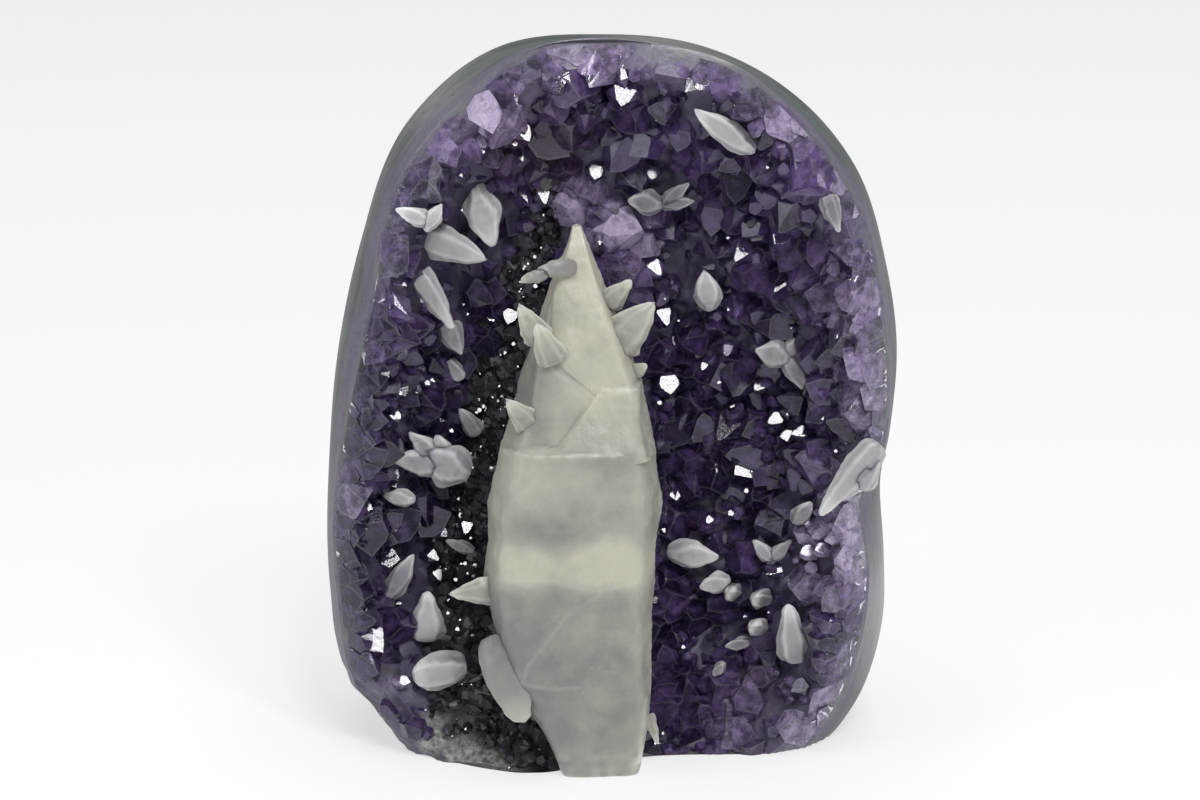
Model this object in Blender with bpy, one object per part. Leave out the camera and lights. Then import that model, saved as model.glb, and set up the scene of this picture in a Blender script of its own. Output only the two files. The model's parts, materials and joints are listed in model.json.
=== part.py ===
"""Amethyst geode with calcite, sawn flat underneath so that it stands on a shelf.

The front, which faces -Y, is a shallow bowl lined with amethyst. A large calcite crystal stands in it on a
ridge of dark quartz, and small calcite crystals are scattered over the amethyst.
"""
import math
import random

import bmesh
import bpy
import numpy as np
from mathutils import Matrix, Vector, noise

MM = 0.001
SEED = 7
GAP = 0.3  # mm, left between pieces that touch

# Lines seen from the front, as (x, z) in mm. They run below z = 0, where the saw cuts them off.
OUTER_LINE = [
    (-2, 148), (19, 146), (35, 139), (51, 122.5), (57.8, 101.5), (59.9, 84), (58.4, 67), (56.8, 54),
    (57.9, 38), (57.8, 23), (52, 5), (42, -6), (20, -9), (-15, -10), (-33, -6), (-44, 2), (-53.5, 9),
    (-58, 19), (-59.6, 32), (-59.6, 54), (-57.4, 80), (-51.7, 106), (-41.2, 131), (-23, 145.5),
]
RIM_LINE = [
    (-2, 149.7), (10, 148.6), (24, 144.8), (37, 134.5), (50, 116.5), (55.5, 95), (57, 78), (56.3, 66),
    (51.8, 54), (53.6, 38), (51.6, 21), (45, 5), (30, -8), (0, -10), (-30, -8), (-45, 3), (-53, 14),
    (-57, 34), (-57.5, 50), (-54.4, 73), (-49, 96.5), (-43, 121), (-28.6, 138.7), (-14, 148.3),
]
CENTRE_X, CENTRE_Z = 0.0, 68.0  # the bowl's middle, as seen from the front
RIM_Y = -18.0  # depth of the line where grey rock meets amethyst
AROUND = 40  # points on each ring of the rock

# Rings of the rock behind the rim: depth, share of the way from the rim line to the outer line, size.
ROCK_RINGS = [
    (-13.0, 0.55, 1.0), (-7.0, 0.9, 1.0), (2.0, 1.0, 1.0), (12.0, 1.0, 0.965),
    (22.0, 1.0, 0.905), (31.0, 1.0, 0.80), (36.5, 1.0, 0.63), (39.6, 1.0, 0.37),
]
BACK = (0.0, 40.5, 42.0)  # the rounded back's middle
LUMP_SIZE, LUMP_HEIGHT = 17.0, 1.6  # natural lumps on the rough back
ROUGH_FROM, ROUGH_TO = 0.0, 16.0  # depths between which the polish gives way to the natural skin

# Profiles from the bowl's middle outwards: share of the rim's radius, depth.
HOLLOW_PROFILE = [
    (0.0, 11.5), (0.28, 10.6), (0.5, 8.7), (0.7, 4.9), (0.84, -0.6), (0.93, -7.8), (1.0, RIM_Y),
]
LINING_PROFILE = [
    (0.0, 5.0), (0.25, 4.2), (0.45, 1.5), (0.62, -3.0), (0.76, -10.0), (0.86, -17.0), (0.95, -23.0),
]
POLISHED_PROFILE = [(0.66, -44.0), (0.82, -27.5), (0.93, -22.2), (1.0, RIM_Y)]
POLISH_BACK = 30.0  # depth down to which the ground shape runs, behind the whole crust
WALL_FRONT = -52.0  # depth up to which the crust's wall along the rim stands before it is ground
WALL_TOP = 0.97  # share of the rim's radius at that wall's inner edge

# The ridge of dark quartz behind the large calcite: height, middle x, half width, how far forward it stands.
RIDGE = [
    (-20, -17, 17, 11), (0, -17, 17, 12), (12, -16, 16, 16), (25, -14, 15, 18), (40, -11, 14, 16),
    (60, -9, 13, 13.5), (80, -7, 11, 13), (95, -4, 10, 11), (108, -3, 9, 6), (125, -3, 9, 0), (170, -3, 9, 0),
]

CRYSTAL_COUNT = 114
CRYSTAL_REACH = 0.93  # share of the rim's radius up to which amethyst tips stand
CRYSTAL_HALF_WIDTH = (4.2, 6.6)
CRYSTAL_SCATTER = 1.6
CRYSTAL_LEAN = 0.2
CRYSTAL_ROOT = 2.6  # how deep in the lining a crystal's shaft starts
CRYSTAL_SHOULDER = (-1.6, 0.6)  # where its tip begins, above the lining
QUARTZ_SLOPE = 1.27  # rise of a quartz tip's face for each unit across
POINT_OFF = 0.3  # how far off centre a tip's point may lie, in half widths
GROUP_SPACING = 2.3  # distance between crystals of one group, in sums of their half widths

# The large calcite's rings, bottom to top: height, left x, right x, middle depth, half of its depth.
LOWER_CALCITE = [
    (0.0, -10.6, 6.0, -30.5, 8.0), (8.5, -14.4, 7.8, -29.0, 10.4), (20.0, -22.2, 8.9, -27.0, 13.0),
    (40.0, -26.8, 9.5, -26.0, 14.5), (56.0, -25.9, 10.9, -25.6, 14.2), (64.0, -24.3, 10.4, -25.4, 13.4),
    (68.0, -21.5, 9.0, -24.6, 10.4),
]
UPPER_CALCITE = [
    (55.0, -22.5, 9.6, -24.6, 11.6), (66.0, -23.6, 9.9, -24.4, 12.0), (78.0, -19.9, 7.2, -23.6, 10.8),
    (91.0, -16.4, 3.0, -22.6, 8.6), (100.0, -13.2, -0.6, -22.4, 6.0), (112.5, -7.4, -6.6, -21.6, 0.4),
]
BLOCK_SLANT = 0.52  # half width of its flat front face, as a share of the whole half width
BLOCK_ROOT = 3.0  # how far each block runs on below its first ring

# A pointed calcite crystal: rings as (share of its length, share of its half width).
DOGTOOTH_RINGS = [(0.0, 0.5), (0.38, 1.0), (0.76, 0.62)]
DOGTOOTH_FLATNESS = 0.75  # its thickness as a share of its width
DOGTOOTH_STAGGER = 0.06  # zigzag of its rings, as a share of its length
DOGTOOTH_ROOT = 0.4  # how far its rounded root reaches back
SOCKET_SPREAD = 0.6  # share of its half width that the socket's gap is measured on

# Daughter crystals on the large calcite: root (x, y, z), tip (x, y, z), half of its width.
CALCITE_DAUGHTERS = [
    ((-12.5, -29.0, 86.0), (-18.6, -33.0, 96.5), 3.0), ((-11.5, -31.0, 82.0), (-15.4, -36.5, 92.0), 3.6),
    ((-16.0, -31.0, 73.0), (-20.2, -37.0, 79.5), 2.6), ((-7.0, -24.0, 102.0), (-18.0, -26.0, 103.5), 2.7),
    ((1.0, -25.0, 90.0), (9.6, -28.0, 97.0), 3.9), ((-1.0, -24.0, 96.0), (4.6, -27.5, 102.5), 2.4),
    ((5.0, -25.0, 80.0), (9.4, -27.0, 84.0), 1.8), ((-24.0, -30.0, 37.0), (-32.6, -33.0, 39.0), 2.7),
    ((-22.0, -31.5, 27.0), (-16.4, -39.0, 14.5), 3.4), ((4.0, -27.0, 8.0), (8.6, -27.5, 3.5), 2.0),
]

# Small calcites, each with its arms: root (x, z), tip (x, z), width.
SMALL_CALCITES = [
    ("calcite_leaf_upper_left", [(-27.9, 119.2, -24.1, 106.6, 7.1)]),
    ("calcite_leaf_left_flat", [(-38.0, 107.5, -25.4, 104.1, 5.7)]),
    ("calcite_leaf_left_lower", [(-39.8, 101.7, -32.4, 90.0, 5.5)]),
    ("calcite_bud_left", [(-33.9, 89.6, -30.9, 83.1, 5.0)]),
    ("calcite_bud_dark", [(-33.6, 81.6, -30.9, 77.4, 3.2)]),
    ("calcite_knot_upper_left", [(-37.0, 114.0, -43.3, 116.4, 3.8), (-36.6, 113.0, -34.0, 117.5, 3.4)]),
    ("calcite_star_left", [
        (-35.6, 60.6, -42.0, 67.1, 4.2), (-35.6, 59.8, -45.3, 61.4, 5.4), (-36.5, 59.8, -31.2, 60.2, 7.6),
        (-35.8, 60.0, -33.7, 54.6, 6.7)]),
    ("calcite_leaf_far_left", [(-40.6, 53.4, -47.4, 54.6, 3.7)]),
    ("calcite_leaf_grey_left", [(-27.8, 65.0, -31.7, 70.8, 4.0)]),
    ("calcite_leaf_dark_left", [(-28.8, 40.0, -34.7, 42.7, 2.9)]),
    ("calcite_leaf_violet_left", [(-47.0, 31.6, -41.0, 42.3, 4.6)]),
    ("calcite_leaf_lower_left", [(-38.5, 32.1, -39.2, 21.6, 6.5)]),
    ("calcite_egg_lower_left", [(-30.1, 16.0, -41.6, 14.4, 6.9)]),
    ("calcite_leaf_top_right", [(28.8, 127.1, 16.5, 136.4, 5.2)]),
    ("calcite_cluster_top", [
        (9.2, 114.4, 3.3, 115.2, 5.3), (10.8, 114.5, 15.9, 118.9, 3.1), (10.8, 114.3, 17.2, 115.0, 3.1)]),
    ("calcite_leaf_right_centre", [(20.6, 90.8, 19.3, 99.9, 5.6)]),
    ("calcite_leaf_far_right", [(43.2, 119.0, 45.7, 111.7, 4.0)]),
    ("calcite_star_right", [
        (36.0, 82.0, 29.9, 83.6, 6.2), (35.9, 82.3, 41.2, 86.9, 3.7), (36.0, 82.1, 40.8, 74.7, 4.1)]),
    ("calcite_ridge_right", [
        (50.4, 61.9, 42.6, 53.0, 4.9), (50.1, 62.9, 55.0, 58.7, 4.9), (50.3, 62.3, 52.2, 67.4, 4.9)]),
    ("calcite_bud_right", [(37.9, 48.0, 41.7, 52.7, 4.2)]),
    ("calcite_leaf_by_calcite", [(11.8, 38.4, 22.9, 37.8, 6.1)]),
    ("calcite_leaf_right_low", [(25.4, 33.1, 18.7, 31.6, 4.7)]),
    ("calcite_cluster_low_right", [(33.6, 38.4, 29.9, 42.7, 3.4), (33.8, 38.4, 38.0, 42.6, 3.2)]),
    ("calcite_spire_lower_right", [(38.7, 18.1, 36.9, 31.3, 6.5)]),
    ("calcite_chip_right", [(30.2, 21.1, 24.0, 20.2, 2.9)]),
    ("calcite_chip_low", [(23.9, 16.9, 21.6, 13.9, 2.4)]),
]
# Stubby small calcites that point out of the bowl: name, middle (x, z), width.
CALCITE_BEADS = [
    ("calcite_bead_middle", 27.3, 29.5, 4.0),
    ("calcite_bead_upper", 33.8, 29.4, 4.6),
    ("calcite_bead_lower", 32.9, 23.0, 4.0),
]
SMALL_OUT = 4.8  # how far a small calcite's axis stands off the lining
SMALL_PROUD = 0.6  # how far it may stand out of the polished face
SMALL_LEAN = 0.16  # its lean out of the bowl
ARM_OVERLAP = 1.5  # how far behind the shared root each arm of a cluster starts
BEAD_LENGTH = 6.0
BEAD_SEAT = 1.0  # how far above the lining a bead starts

FLAT_ANGLE = math.radians(0.3)  # faces that turn by less count as one plane

COLOURS = {
    "rock": ((0.20, 0.21, 0.19), 0.45),
    "amethyst": ((0.16, 0.07, 0.26), 0.12),
    "calcite": ((0.66, 0.66, 0.57), 0.40),
    "frosted calcite": ((0.62, 0.62, 0.63), 0.45),
}


def smooth_through(x, xs, ys):
    """A smooth curve through the points (xs, ys), read at x. Its slopes come from the neighbouring points."""
    slope = np.gradient(ys, xs)
    i = np.clip(np.searchsorted(xs, x) - 1, 0, len(xs) - 2)
    step = xs[i + 1] - xs[i]
    t = np.clip((x - xs[i]) / step, 0.0, 1.0)
    start = (1 + 2 * t) * (1 - t) ** 2 * ys[i] + t * (1 - t) ** 2 * step * slope[i]
    return start + t * t * (3 - 2 * t) * ys[i + 1] + t * t * (t - 1) * step * slope[i + 1]


def line_radius(line, angle):
    """Distance from the bowl's middle to a closed line of (x, z) points, in the direction angle."""
    offset = np.array(line, float) - (CENTRE_X, CENTRE_Z)
    turn = np.arctan2(offset[:, 1], offset[:, 0])
    order = np.argsort(turn)
    turn, radius = turn[order], np.hypot(offset[order, 0], offset[order, 1])
    turns = np.concatenate([turn - 2 * math.pi, turn, turn + 2 * math.pi])
    return smooth_through((angle + math.pi) % (2 * math.pi) - math.pi, turns, np.tile(radius, 3))


def ridge_height(x, z):
    """How far the dark quartz ridge stands forward at a point seen from the front."""
    heights, middles, widths, forward = np.array(RIDGE, float).T
    middle, width, out = (smooth_through(z, heights, values) for values in (middles, widths, forward))
    return out * np.exp(-((x - middle) / width) ** 2)


def profile_depth(profile, x, z):
    """Depth y of a bowl profile at a point seen from the front, brought forward on the ridge."""
    dx, dz = x - CENTRE_X, z - CENTRE_Z
    share = np.hypot(dx, dz) / line_radius(RIM_LINE, np.arctan2(dz, dx))
    shares, depths = np.array(profile, float).T
    return smooth_through(share, shares, depths) - ridge_height(x, z)


def lining_depth(x, z):
    """Depth y of the ground between the amethyst tips."""
    return profile_depth(LINING_PROFILE, x, z)


def lining_normal(x, z):
    """Direction away from the rock at a point of the lining."""
    step = 1.0
    slope_x = (lining_depth(x + step, z) - lining_depth(x - step, z)) / (2 * step)
    slope_z = (lining_depth(x, z + step) - lining_depth(x, z - step)) / (2 * step)
    return Vector((float(slope_x), -1.0, float(slope_z))).normalized()


def bowl_ring(share, depth, inset=0.0, ridged=False):
    """A ring at a share of the rim's radius and a depth, moved in by inset. ridged adds the ridge."""
    angle = np.arange(AROUND) * 2 * math.pi / AROUND
    radius = share * line_radius(RIM_LINE, angle) - inset
    x = CENTRE_X + radius * np.cos(angle)
    z = CENTRE_Z + radius * np.sin(angle)
    y = np.full(AROUND, depth) - (ridge_height(x, z) if ridged else 0.0)
    return np.stack([x, y, z], axis=1)


def material(name):
    """A plain finish of the piece's colour."""
    found = bpy.data.materials.get(name)
    if found:
        return found
    made = bpy.data.materials.new(name)
    made.use_nodes = True
    shader = made.node_tree.nodes["Principled BSDF"]
    colour, roughness = COLOURS[name]
    shader.inputs["Base Color"].default_value = (*colour, 1.0)
    shader.inputs["Roughness"].default_value = roughness
    shader.inputs["Metallic"].default_value = 0.0
    return made


def add_object(name, mesh, collection):
    made = bpy.data.objects.new(name, mesh)
    collection.objects.link(made)
    return made


def finish(obj, name, collection, material_name):
    """Names a finished solid, moves it to its collection and gives it its material."""
    obj.name = name
    for home in list(obj.users_collection):
        home.objects.unlink(obj)
    collection.objects.link(obj)
    obj.data.materials.clear()
    if material_name:
        obj.data.materials.append(material(material_name))
    return obj


def loft(name, rings, collection, first_pole=None, last_pole=None):
    """A closed solid through rings of equal count, with a pole or a flat cap at each end. Sizes are in mm."""
    count = len(rings[0])
    points = [tuple(p) for ring in rings for p in ring]
    faces = []
    for k in range(len(rings) - 1):
        for i in range(count):
            j = (i + 1) % count
            low, high = k * count, (k + 1) * count
            faces += [(low + i, low + j, high + j), (low + i, high + j, high + i)]
    for pole, start in ((first_pole, 0), (last_pole, (len(rings) - 1) * count)):
        if pole is None:
            faces.append(tuple(range(start, start + count)))
            continue
        points.append(tuple(pole))
        faces += [(start + i, start + (i + 1) % count, len(points) - 1) for i in range(count)]
    mesh = bpy.data.meshes.new(name)
    mesh.from_pydata([Vector(p) * MM for p in points], [], faces)
    work = bmesh.new()
    work.from_mesh(mesh)
    bmesh.ops.recalc_face_normals(work, faces=work.faces)
    work.to_mesh(mesh)
    work.free()
    return add_object(name, mesh, collection)


def boolean(target, other, operation, solver="EXACT"):
    """Applies one Boolean to target and removes the other solid."""
    step = target.modifiers.new(operation.lower(), "BOOLEAN")
    step.operation = operation
    step.object = other
    step.solver = solver
    bpy.context.view_layer.update()
    graph = bpy.context.evaluated_depsgraph_get()
    mesh = bpy.data.meshes.new_from_object(target.evaluated_get(graph))
    target.modifiers.clear()
    target.data = mesh
    bpy.data.objects.remove(other)


def keep_largest_island(obj):
    """Deletes chips that a Boolean cut loose, and keeps the main body."""
    work = bmesh.new()
    work.from_mesh(obj.data)
    unseen, islands = set(work.verts), []
    while unseen:
        todo, island = [unseen.pop()], []
        while todo:
            vert = todo.pop()
            island.append(vert)
            for edge in vert.link_edges:
                other = edge.other_vert(vert)
                if other in unseen:
                    unseen.remove(other)
                    todo.append(other)
        islands.append(island)
    islands.sort(key=len, reverse=True)
    loose = [vert for island in islands[1:] for vert in island]
    bmesh.ops.delete(work, geom=loose, context="VERTS")
    work.to_mesh(obj.data)
    work.free()


def split_into_triangles(obj):
    """Joins triangles that lie in one plane, then splits every face into as few triangles as it needs."""
    work = bmesh.new()
    work.from_mesh(obj.data)
    bmesh.ops.dissolve_limit(work, angle_limit=FLAT_ANGLE, verts=work.verts, edges=work.edges)
    bmesh.ops.triangulate(work, faces=work.faces)
    work.to_mesh(obj.data)
    work.free()


def saw_base(obj, cutters):
    """Cuts off all that lies below z = 0."""
    mesh = bpy.data.meshes.new("saw")
    work = bmesh.new()
    bmesh.ops.create_cube(work, size=1.0)
    bmesh.ops.scale(work, verts=work.verts, vec=Vector((200.0, 200.0, 60.0)) * MM)
    bmesh.ops.translate(work, verts=work.verts, vec=Vector((0.0, 0.0, -30.0)) * MM)
    work.to_mesh(mesh)
    work.free()
    boolean(obj, add_object("saw", mesh, cutters), "DIFFERENCE")


def rock_ring(depth, outward, size):
    """A ring of the rock's skin, with natural lumps on the part behind the polished edge."""
    angle = np.arange(AROUND) * 2 * math.pi / AROUND
    rim, outer = line_radius(RIM_LINE, angle), line_radius(OUTER_LINE, angle)
    radius = rim + (outer - rim) * outward
    x = (CENTRE_X + radius * np.cos(angle)) * size
    z = BACK[2] + (CENTRE_Z + radius * np.sin(angle) - BACK[2]) * size
    ring = np.stack([x, np.full(AROUND, depth), z], axis=1)
    roughness = min(1.0, max(0.0, (depth - ROUGH_FROM) / (ROUGH_TO - ROUGH_FROM)))
    for point in ring:
        away = Vector((point[0], 0.6 * (depth + 10.0), point[2] - BACK[2])).normalized()
        point += np.array(away) * noise.noise(Vector(point) / LUMP_SIZE) * LUMP_HEIGHT * roughness
    return ring


def build_rock(parts, cutters):
    """The grey host rock: a rounded stone, lofted from the middle of the bowl in its front to its back."""
    rings = [bowl_ring(share, depth) for share, depth in HOLLOW_PROFILE[1:]]
    rings += [rock_ring(*station) for station in ROCK_RINGS]
    rock = loft("geode_rock", rings, parts, (CENTRE_X, HOLLOW_PROFILE[0][1], CENTRE_Z), BACK)
    saw_base(rock, cutters)
    split_into_triangles(rock)
    return finish(rock, "geode_rock", parts, "rock")


def crystal_sites():
    """Where amethyst crystals grow: x, z, half width. They lie on a sunflower spiral, with some scatter."""
    turn = math.pi * (3 - math.sqrt(5))
    for i in range(CRYSTAL_COUNT):
        share = CRYSTAL_REACH * math.sqrt((i + 0.5) / CRYSTAL_COUNT)
        reach = share * float(line_radius(RIM_LINE, np.array([i * turn]))[0])
        x = CENTRE_X + reach * math.cos(i * turn) + random.uniform(-CRYSTAL_SCATTER, CRYSTAL_SCATTER)
        z = CENTRE_Z + reach * math.sin(i * turn) + random.uniform(-CRYSTAL_SCATTER, CRYSTAL_SCATTER)
        if z > -4.0:
            yield x, z, random.uniform(*CRYSTAL_HALF_WIDTH)


def add_quartz_crystal(work, x, z, half_width):
    """Adds a six-sided quartz tip. It leans a little off the lining's normal, and its point is off centre."""
    out = lining_normal(x, z)
    lean = Vector([random.gauss(0, 1) for _ in range(3)]) * CRYSTAL_LEAN
    out = (out + lean).normalized()
    rise = half_width * QUARTZ_SLOPE
    root = Vector((x, float(lining_depth(x, z)), z)) - out * CRYSTAL_ROOT
    turn = out.to_track_quat("Z", "Y").to_matrix() @ Matrix.Rotation(random.uniform(0, math.tau), 3, "Z")
    shoulder = CRYSTAL_ROOT + random.uniform(*CRYSTAL_SHOULDER)
    off = [random.uniform(-POINT_OFF, POINT_OFF) * half_width for _ in range(2)]
    verts = [work.verts.new((root + turn @ Vector((*off, shoulder + rise))) * MM)]
    ring = []
    for level in (shoulder, 0.0):
        for k in range(6):
            angle = math.radians(60 * k)
            corner = Vector((half_width * math.cos(angle), half_width * math.sin(angle), level))
            ring.append(work.verts.new((root + turn @ corner) * MM))
    top, low = ring[:6], ring[6:]
    for k in range(6):
        j = (k + 1) % 6
        work.faces.new((verts[0], top[k], top[j]))
        work.faces.new((top[k], low[k], low[j], top[j]))
    work.faces.new(low[::-1])


def build_crystal_groups(cutters):
    """The amethyst crystals, in groups whose members don't touch one another, each group one mesh."""
    groups = []
    for site in crystal_sites():
        free = [
            group for group in groups
            if all(math.dist(site[:2], other[:2]) > GROUP_SPACING * (site[2] + other[2]) for other in group)
        ]
        if free:
            free[0].append(site)
        else:
            groups.append([site])
    made = []
    for number, group in enumerate(groups):
        work = bmesh.new()
        for site in group:
            add_quartz_crystal(work, *site)
        bmesh.ops.recalc_face_normals(work, faces=work.faces)
        mesh = bpy.data.meshes.new(f"crystals {number}")
        work.to_mesh(mesh)
        work.free()
        made.append(add_object(f"crystals {number}", mesh, cutters))
    return made


def build_amethyst(parts, cutters, sockets):
    """The crust of amethyst: a lining of the bowl with crystals fused to it, ground flush at the rim.

    The exact solver leaves small holes in this many-faced solid, so its cuts use the manifold one.
    """
    rings = [bowl_ring(share, depth - GAP, inset=GAP) for share, depth in HOLLOW_PROFILE[1:]]
    rings.append(bowl_ring(1.0, WALL_FRONT, inset=GAP))
    rings.append(bowl_ring(WALL_TOP, WALL_FRONT, inset=GAP))
    rings += [bowl_ring(share, depth, ridged=True) for share, depth in reversed(LINING_PROFILE[1:])]
    back = (CENTRE_X, HOLLOW_PROFILE[0][1] - GAP, CENTRE_Z)
    front = (CENTRE_X, float(lining_depth(CENTRE_X, CENTRE_Z)), CENTRE_Z)
    crust = loft("amethyst_crust", rings, cutters, back, front)
    for group in build_crystal_groups(cutters):
        boolean(crust, group, "UNION")
    envelope = [bowl_ring(share, depth, ridged=True) for share, depth in POLISHED_PROFILE]
    polish = loft("polish", envelope + [bowl_ring(1.0, POLISH_BACK)], cutters)
    saw_base(polish, cutters)
    boolean(crust, polish, "INTERSECT", "MANIFOLD")
    for socket in sockets:
        boolean(crust, socket, "DIFFERENCE", "MANIFOLD")
    keep_largest_island(crust)
    split_into_triangles(crust)
    return finish(crust, "amethyst_crust", parts, "amethyst")


def block_ring(height, left, right, middle, half, grow):
    """A six-sided ring of the large calcite: corners left and right, and flat faces front and back."""
    x, reach = (left + right) / 2, (right - left) / 2 + grow
    half = half + grow
    slant = reach * BLOCK_SLANT
    corners = [(reach, 0.0), (slant, half), (-slant, half), (-reach, 0.0), (-slant, -half), (slant, -half)]
    return np.array([(x + dx, middle + dy, height) for dx, dy in corners])


def dogtooth(root, tip, half_width, collection, grow=0.0):
    """A pointed calcite crystal from root to tip, widest below its middle, as a closed six-sided solid.

    Its broad side faces the front.
    """
    axis = Vector(tip) - Vector(root)
    length = axis.length
    broad = axis.cross(Vector((0.0, 1.0, 0.0))).normalized()
    frame = Matrix((broad, axis.normalized().cross(broad), axis.normalized())).transposed()
    rings = []
    for share, width in DOGTOOTH_RINGS:
        ring = []
        for k in range(6):
            angle = math.radians(60 * k)
            stagger = (DOGTOOTH_STAGGER if k % 2 else -DOGTOOTH_STAGGER) * length * (share > 0)
            reach = half_width * width * (1 + grow / (SOCKET_SPREAD * half_width * width))
            side, deep = reach * math.cos(angle), DOGTOOTH_FLATNESS * reach * math.sin(angle)
            ring.append(Vector(root) + frame @ Vector((side, deep, share * length + stagger)))
        rings.append(np.array(ring))
    step = axis.normalized()
    behind = Vector(root) - step * (DOGTOOTH_ROOT + grow)
    return loft("dogtooth", rings, collection, behind, Vector(tip) + step * grow)


def fuse(solids):
    """Joins overlapping solids into one closed solid."""
    target = solids[0]
    for other in solids[1:]:
        boolean(target, other, "UNION")
    keep_largest_island(target)
    split_into_triangles(target)
    return target


def build_large_calcite(cutters, grow=0.0):
    """The large calcite with its daughter crystals. grow makes the slightly larger shape of its socket."""
    solids = []
    for rings in (LOWER_CALCITE, UPPER_CALCITE):
        body = [block_ring(*station, grow) for station in rings]
        body[0][:, 2] -= BLOCK_ROOT + grow
        body[-1][:, 2] += grow
        solids.append(loft("calcite_body", body, cutters))
    for root, tip, half_width in CALCITE_DAUGHTERS:
        solids.append(dogtooth(root, tip, half_width, cutters, grow))
    calcite = fuse(solids)
    saw_base(calcite, cutters)
    split_into_triangles(calcite)
    return calcite


def build_small_calcites(cutters, grow=0.0):
    """Every small calcite, as pairs of name and object. Arms of a cluster start behind their shared root."""
    made = []
    for name, arms in SMALL_CALCITES:
        solids = []
        x, z = (arms[0][0] + arms[0][2]) / 2, (arms[0][1] + arms[0][3]) / 2
        polished = float(profile_depth(POLISHED_PROFILE, x, z))
        y = max(float(lining_depth(x, z)) - SMALL_OUT, polished - SMALL_PROUD)
        for x0, z0, x1, z1, width in arms:
            away = Vector((x1 - x0, 0.0, z1 - z0))
            lean = SMALL_LEAN * away.length / 2
            back = away.normalized() * (ARM_OVERLAP if len(arms) > 1 else 0.0)
            root = Vector((x0, y + lean, z0)) - back
            solids.append(dogtooth(root, (x1, y - lean, z1), width / 2, cutters, grow))
        made.append((name, fuse(solids)))
    for name, x, z, width in CALCITE_BEADS:
        out = lining_normal(x, z)
        root = Vector((x, float(lining_depth(x, z)), z)) + out * BEAD_SEAT
        made.append((name, fuse([dogtooth(root, root + out * BEAD_LENGTH, width / 2, cutters, grow)])))
    return made


def main():
    random.seed(SEED)
    for obj in list(bpy.data.objects):
        bpy.data.objects.remove(obj)
    parts = bpy.data.collections.new("amethyst geode")
    cutters = bpy.data.collections.new("cutters")
    for collection in (parts, cutters):
        bpy.context.scene.collection.children.link(collection)
    cutters.hide_render = True

    build_rock(parts, cutters)
    sockets = [solid for _, solid in build_small_calcites(cutters, GAP)]
    sockets.append(build_large_calcite(cutters, GAP))
    build_amethyst(parts, cutters, sockets)
    finish(build_large_calcite(cutters), "large_calcite", parts, "calcite")
    for name, solid in build_small_calcites(cutters):
        finish(solid, name, parts, "frosted calcite")


main()
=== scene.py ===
"""Amethyst geode with calcite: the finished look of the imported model.

Every table and method here is in millimetres, and a length becomes metres only where a mesh or a light is written. The
front of the specimen faces -Y. Shapes are surfaces worked out as whole arrays, and colours that vary across a piece
are fields of place, kept on its points.
"""
import json
import logging
import math
from collections.abc import Sequence
from dataclasses import dataclass
from enum import Enum

import bpy
import numpy as np
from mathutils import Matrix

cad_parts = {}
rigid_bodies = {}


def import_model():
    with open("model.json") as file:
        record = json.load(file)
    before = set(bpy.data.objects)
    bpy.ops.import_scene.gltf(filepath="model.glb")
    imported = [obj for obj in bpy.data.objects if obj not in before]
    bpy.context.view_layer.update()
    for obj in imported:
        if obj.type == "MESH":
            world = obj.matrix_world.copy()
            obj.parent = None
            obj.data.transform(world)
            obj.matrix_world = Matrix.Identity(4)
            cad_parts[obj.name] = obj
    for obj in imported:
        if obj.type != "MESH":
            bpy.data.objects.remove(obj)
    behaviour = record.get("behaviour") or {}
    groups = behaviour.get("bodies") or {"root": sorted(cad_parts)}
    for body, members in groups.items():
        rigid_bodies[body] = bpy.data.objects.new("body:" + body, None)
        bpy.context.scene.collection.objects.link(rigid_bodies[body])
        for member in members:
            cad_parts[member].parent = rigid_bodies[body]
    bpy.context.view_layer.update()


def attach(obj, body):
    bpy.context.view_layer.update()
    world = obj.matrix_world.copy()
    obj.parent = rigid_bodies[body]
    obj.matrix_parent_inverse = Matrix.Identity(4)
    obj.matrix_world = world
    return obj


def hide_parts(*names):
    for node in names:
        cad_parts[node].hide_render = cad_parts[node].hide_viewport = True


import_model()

LOG = logging.getLogger("geode")
MM = 0.001
SEED = 11
Array = np.ndarray
Line = Sequence[tuple[float, ...]]

# The part's own lines seen from the front, as (x, z). They run below z = 0, where the saw cuts them off.
OUTER_LINE: Line = (
    (-2, 148), (19, 145.5), (34.5, 138), (50, 121.5), (57, 101), (59.6, 84), (58.4, 67), (56.8, 54),
    (57.9, 38), (57.8, 23), (52, 5), (42, -6), (20, -9), (-15, -10), (-33, -6), (-44, 2), (-53.5, 9),
    (-58, 19), (-59.6, 32), (-59.6, 54), (-57.4, 80), (-51.7, 106), (-41.2, 131), (-23, 145.5),
)
RIM_LINE: Line = (
    (-2, 149.7), (10, 148.6), (24, 144.8), (37, 134.5), (50, 116.5), (55.5, 95), (57, 78), (56.3, 66),
    (51.8, 54), (53.6, 38), (51.6, 21), (45, 5), (30, -8), (0, -10), (-30, -8), (-45, 3), (-53, 14),
    (-57, 34), (-57.5, 50), (-54.4, 73), (-49, 96.5), (-43, 121), (-28.6, 138.7), (-14, 148.3),
)
CENTRE_Z = 68.0
RIM_Y = -18.0

# Stations of the rock's skin: depth, share of the way from the rim line to the outer line, size.
ROCK_STATIONS: Line = (
    (RIM_Y, 0.0, 1.0), (-13.0, 0.55, 1.0), (-7.0, 0.9, 1.0), (2.0, 1.0, 1.0), (12.0, 1.0, 0.965),
    (22.0, 1.0, 0.905), (31.0, 1.0, 0.80), (36.5, 1.0, 0.63), (39.6, 1.0, 0.37), (40.5, 1.0, 0.0),
)
BACK_Z = 42.0

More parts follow.
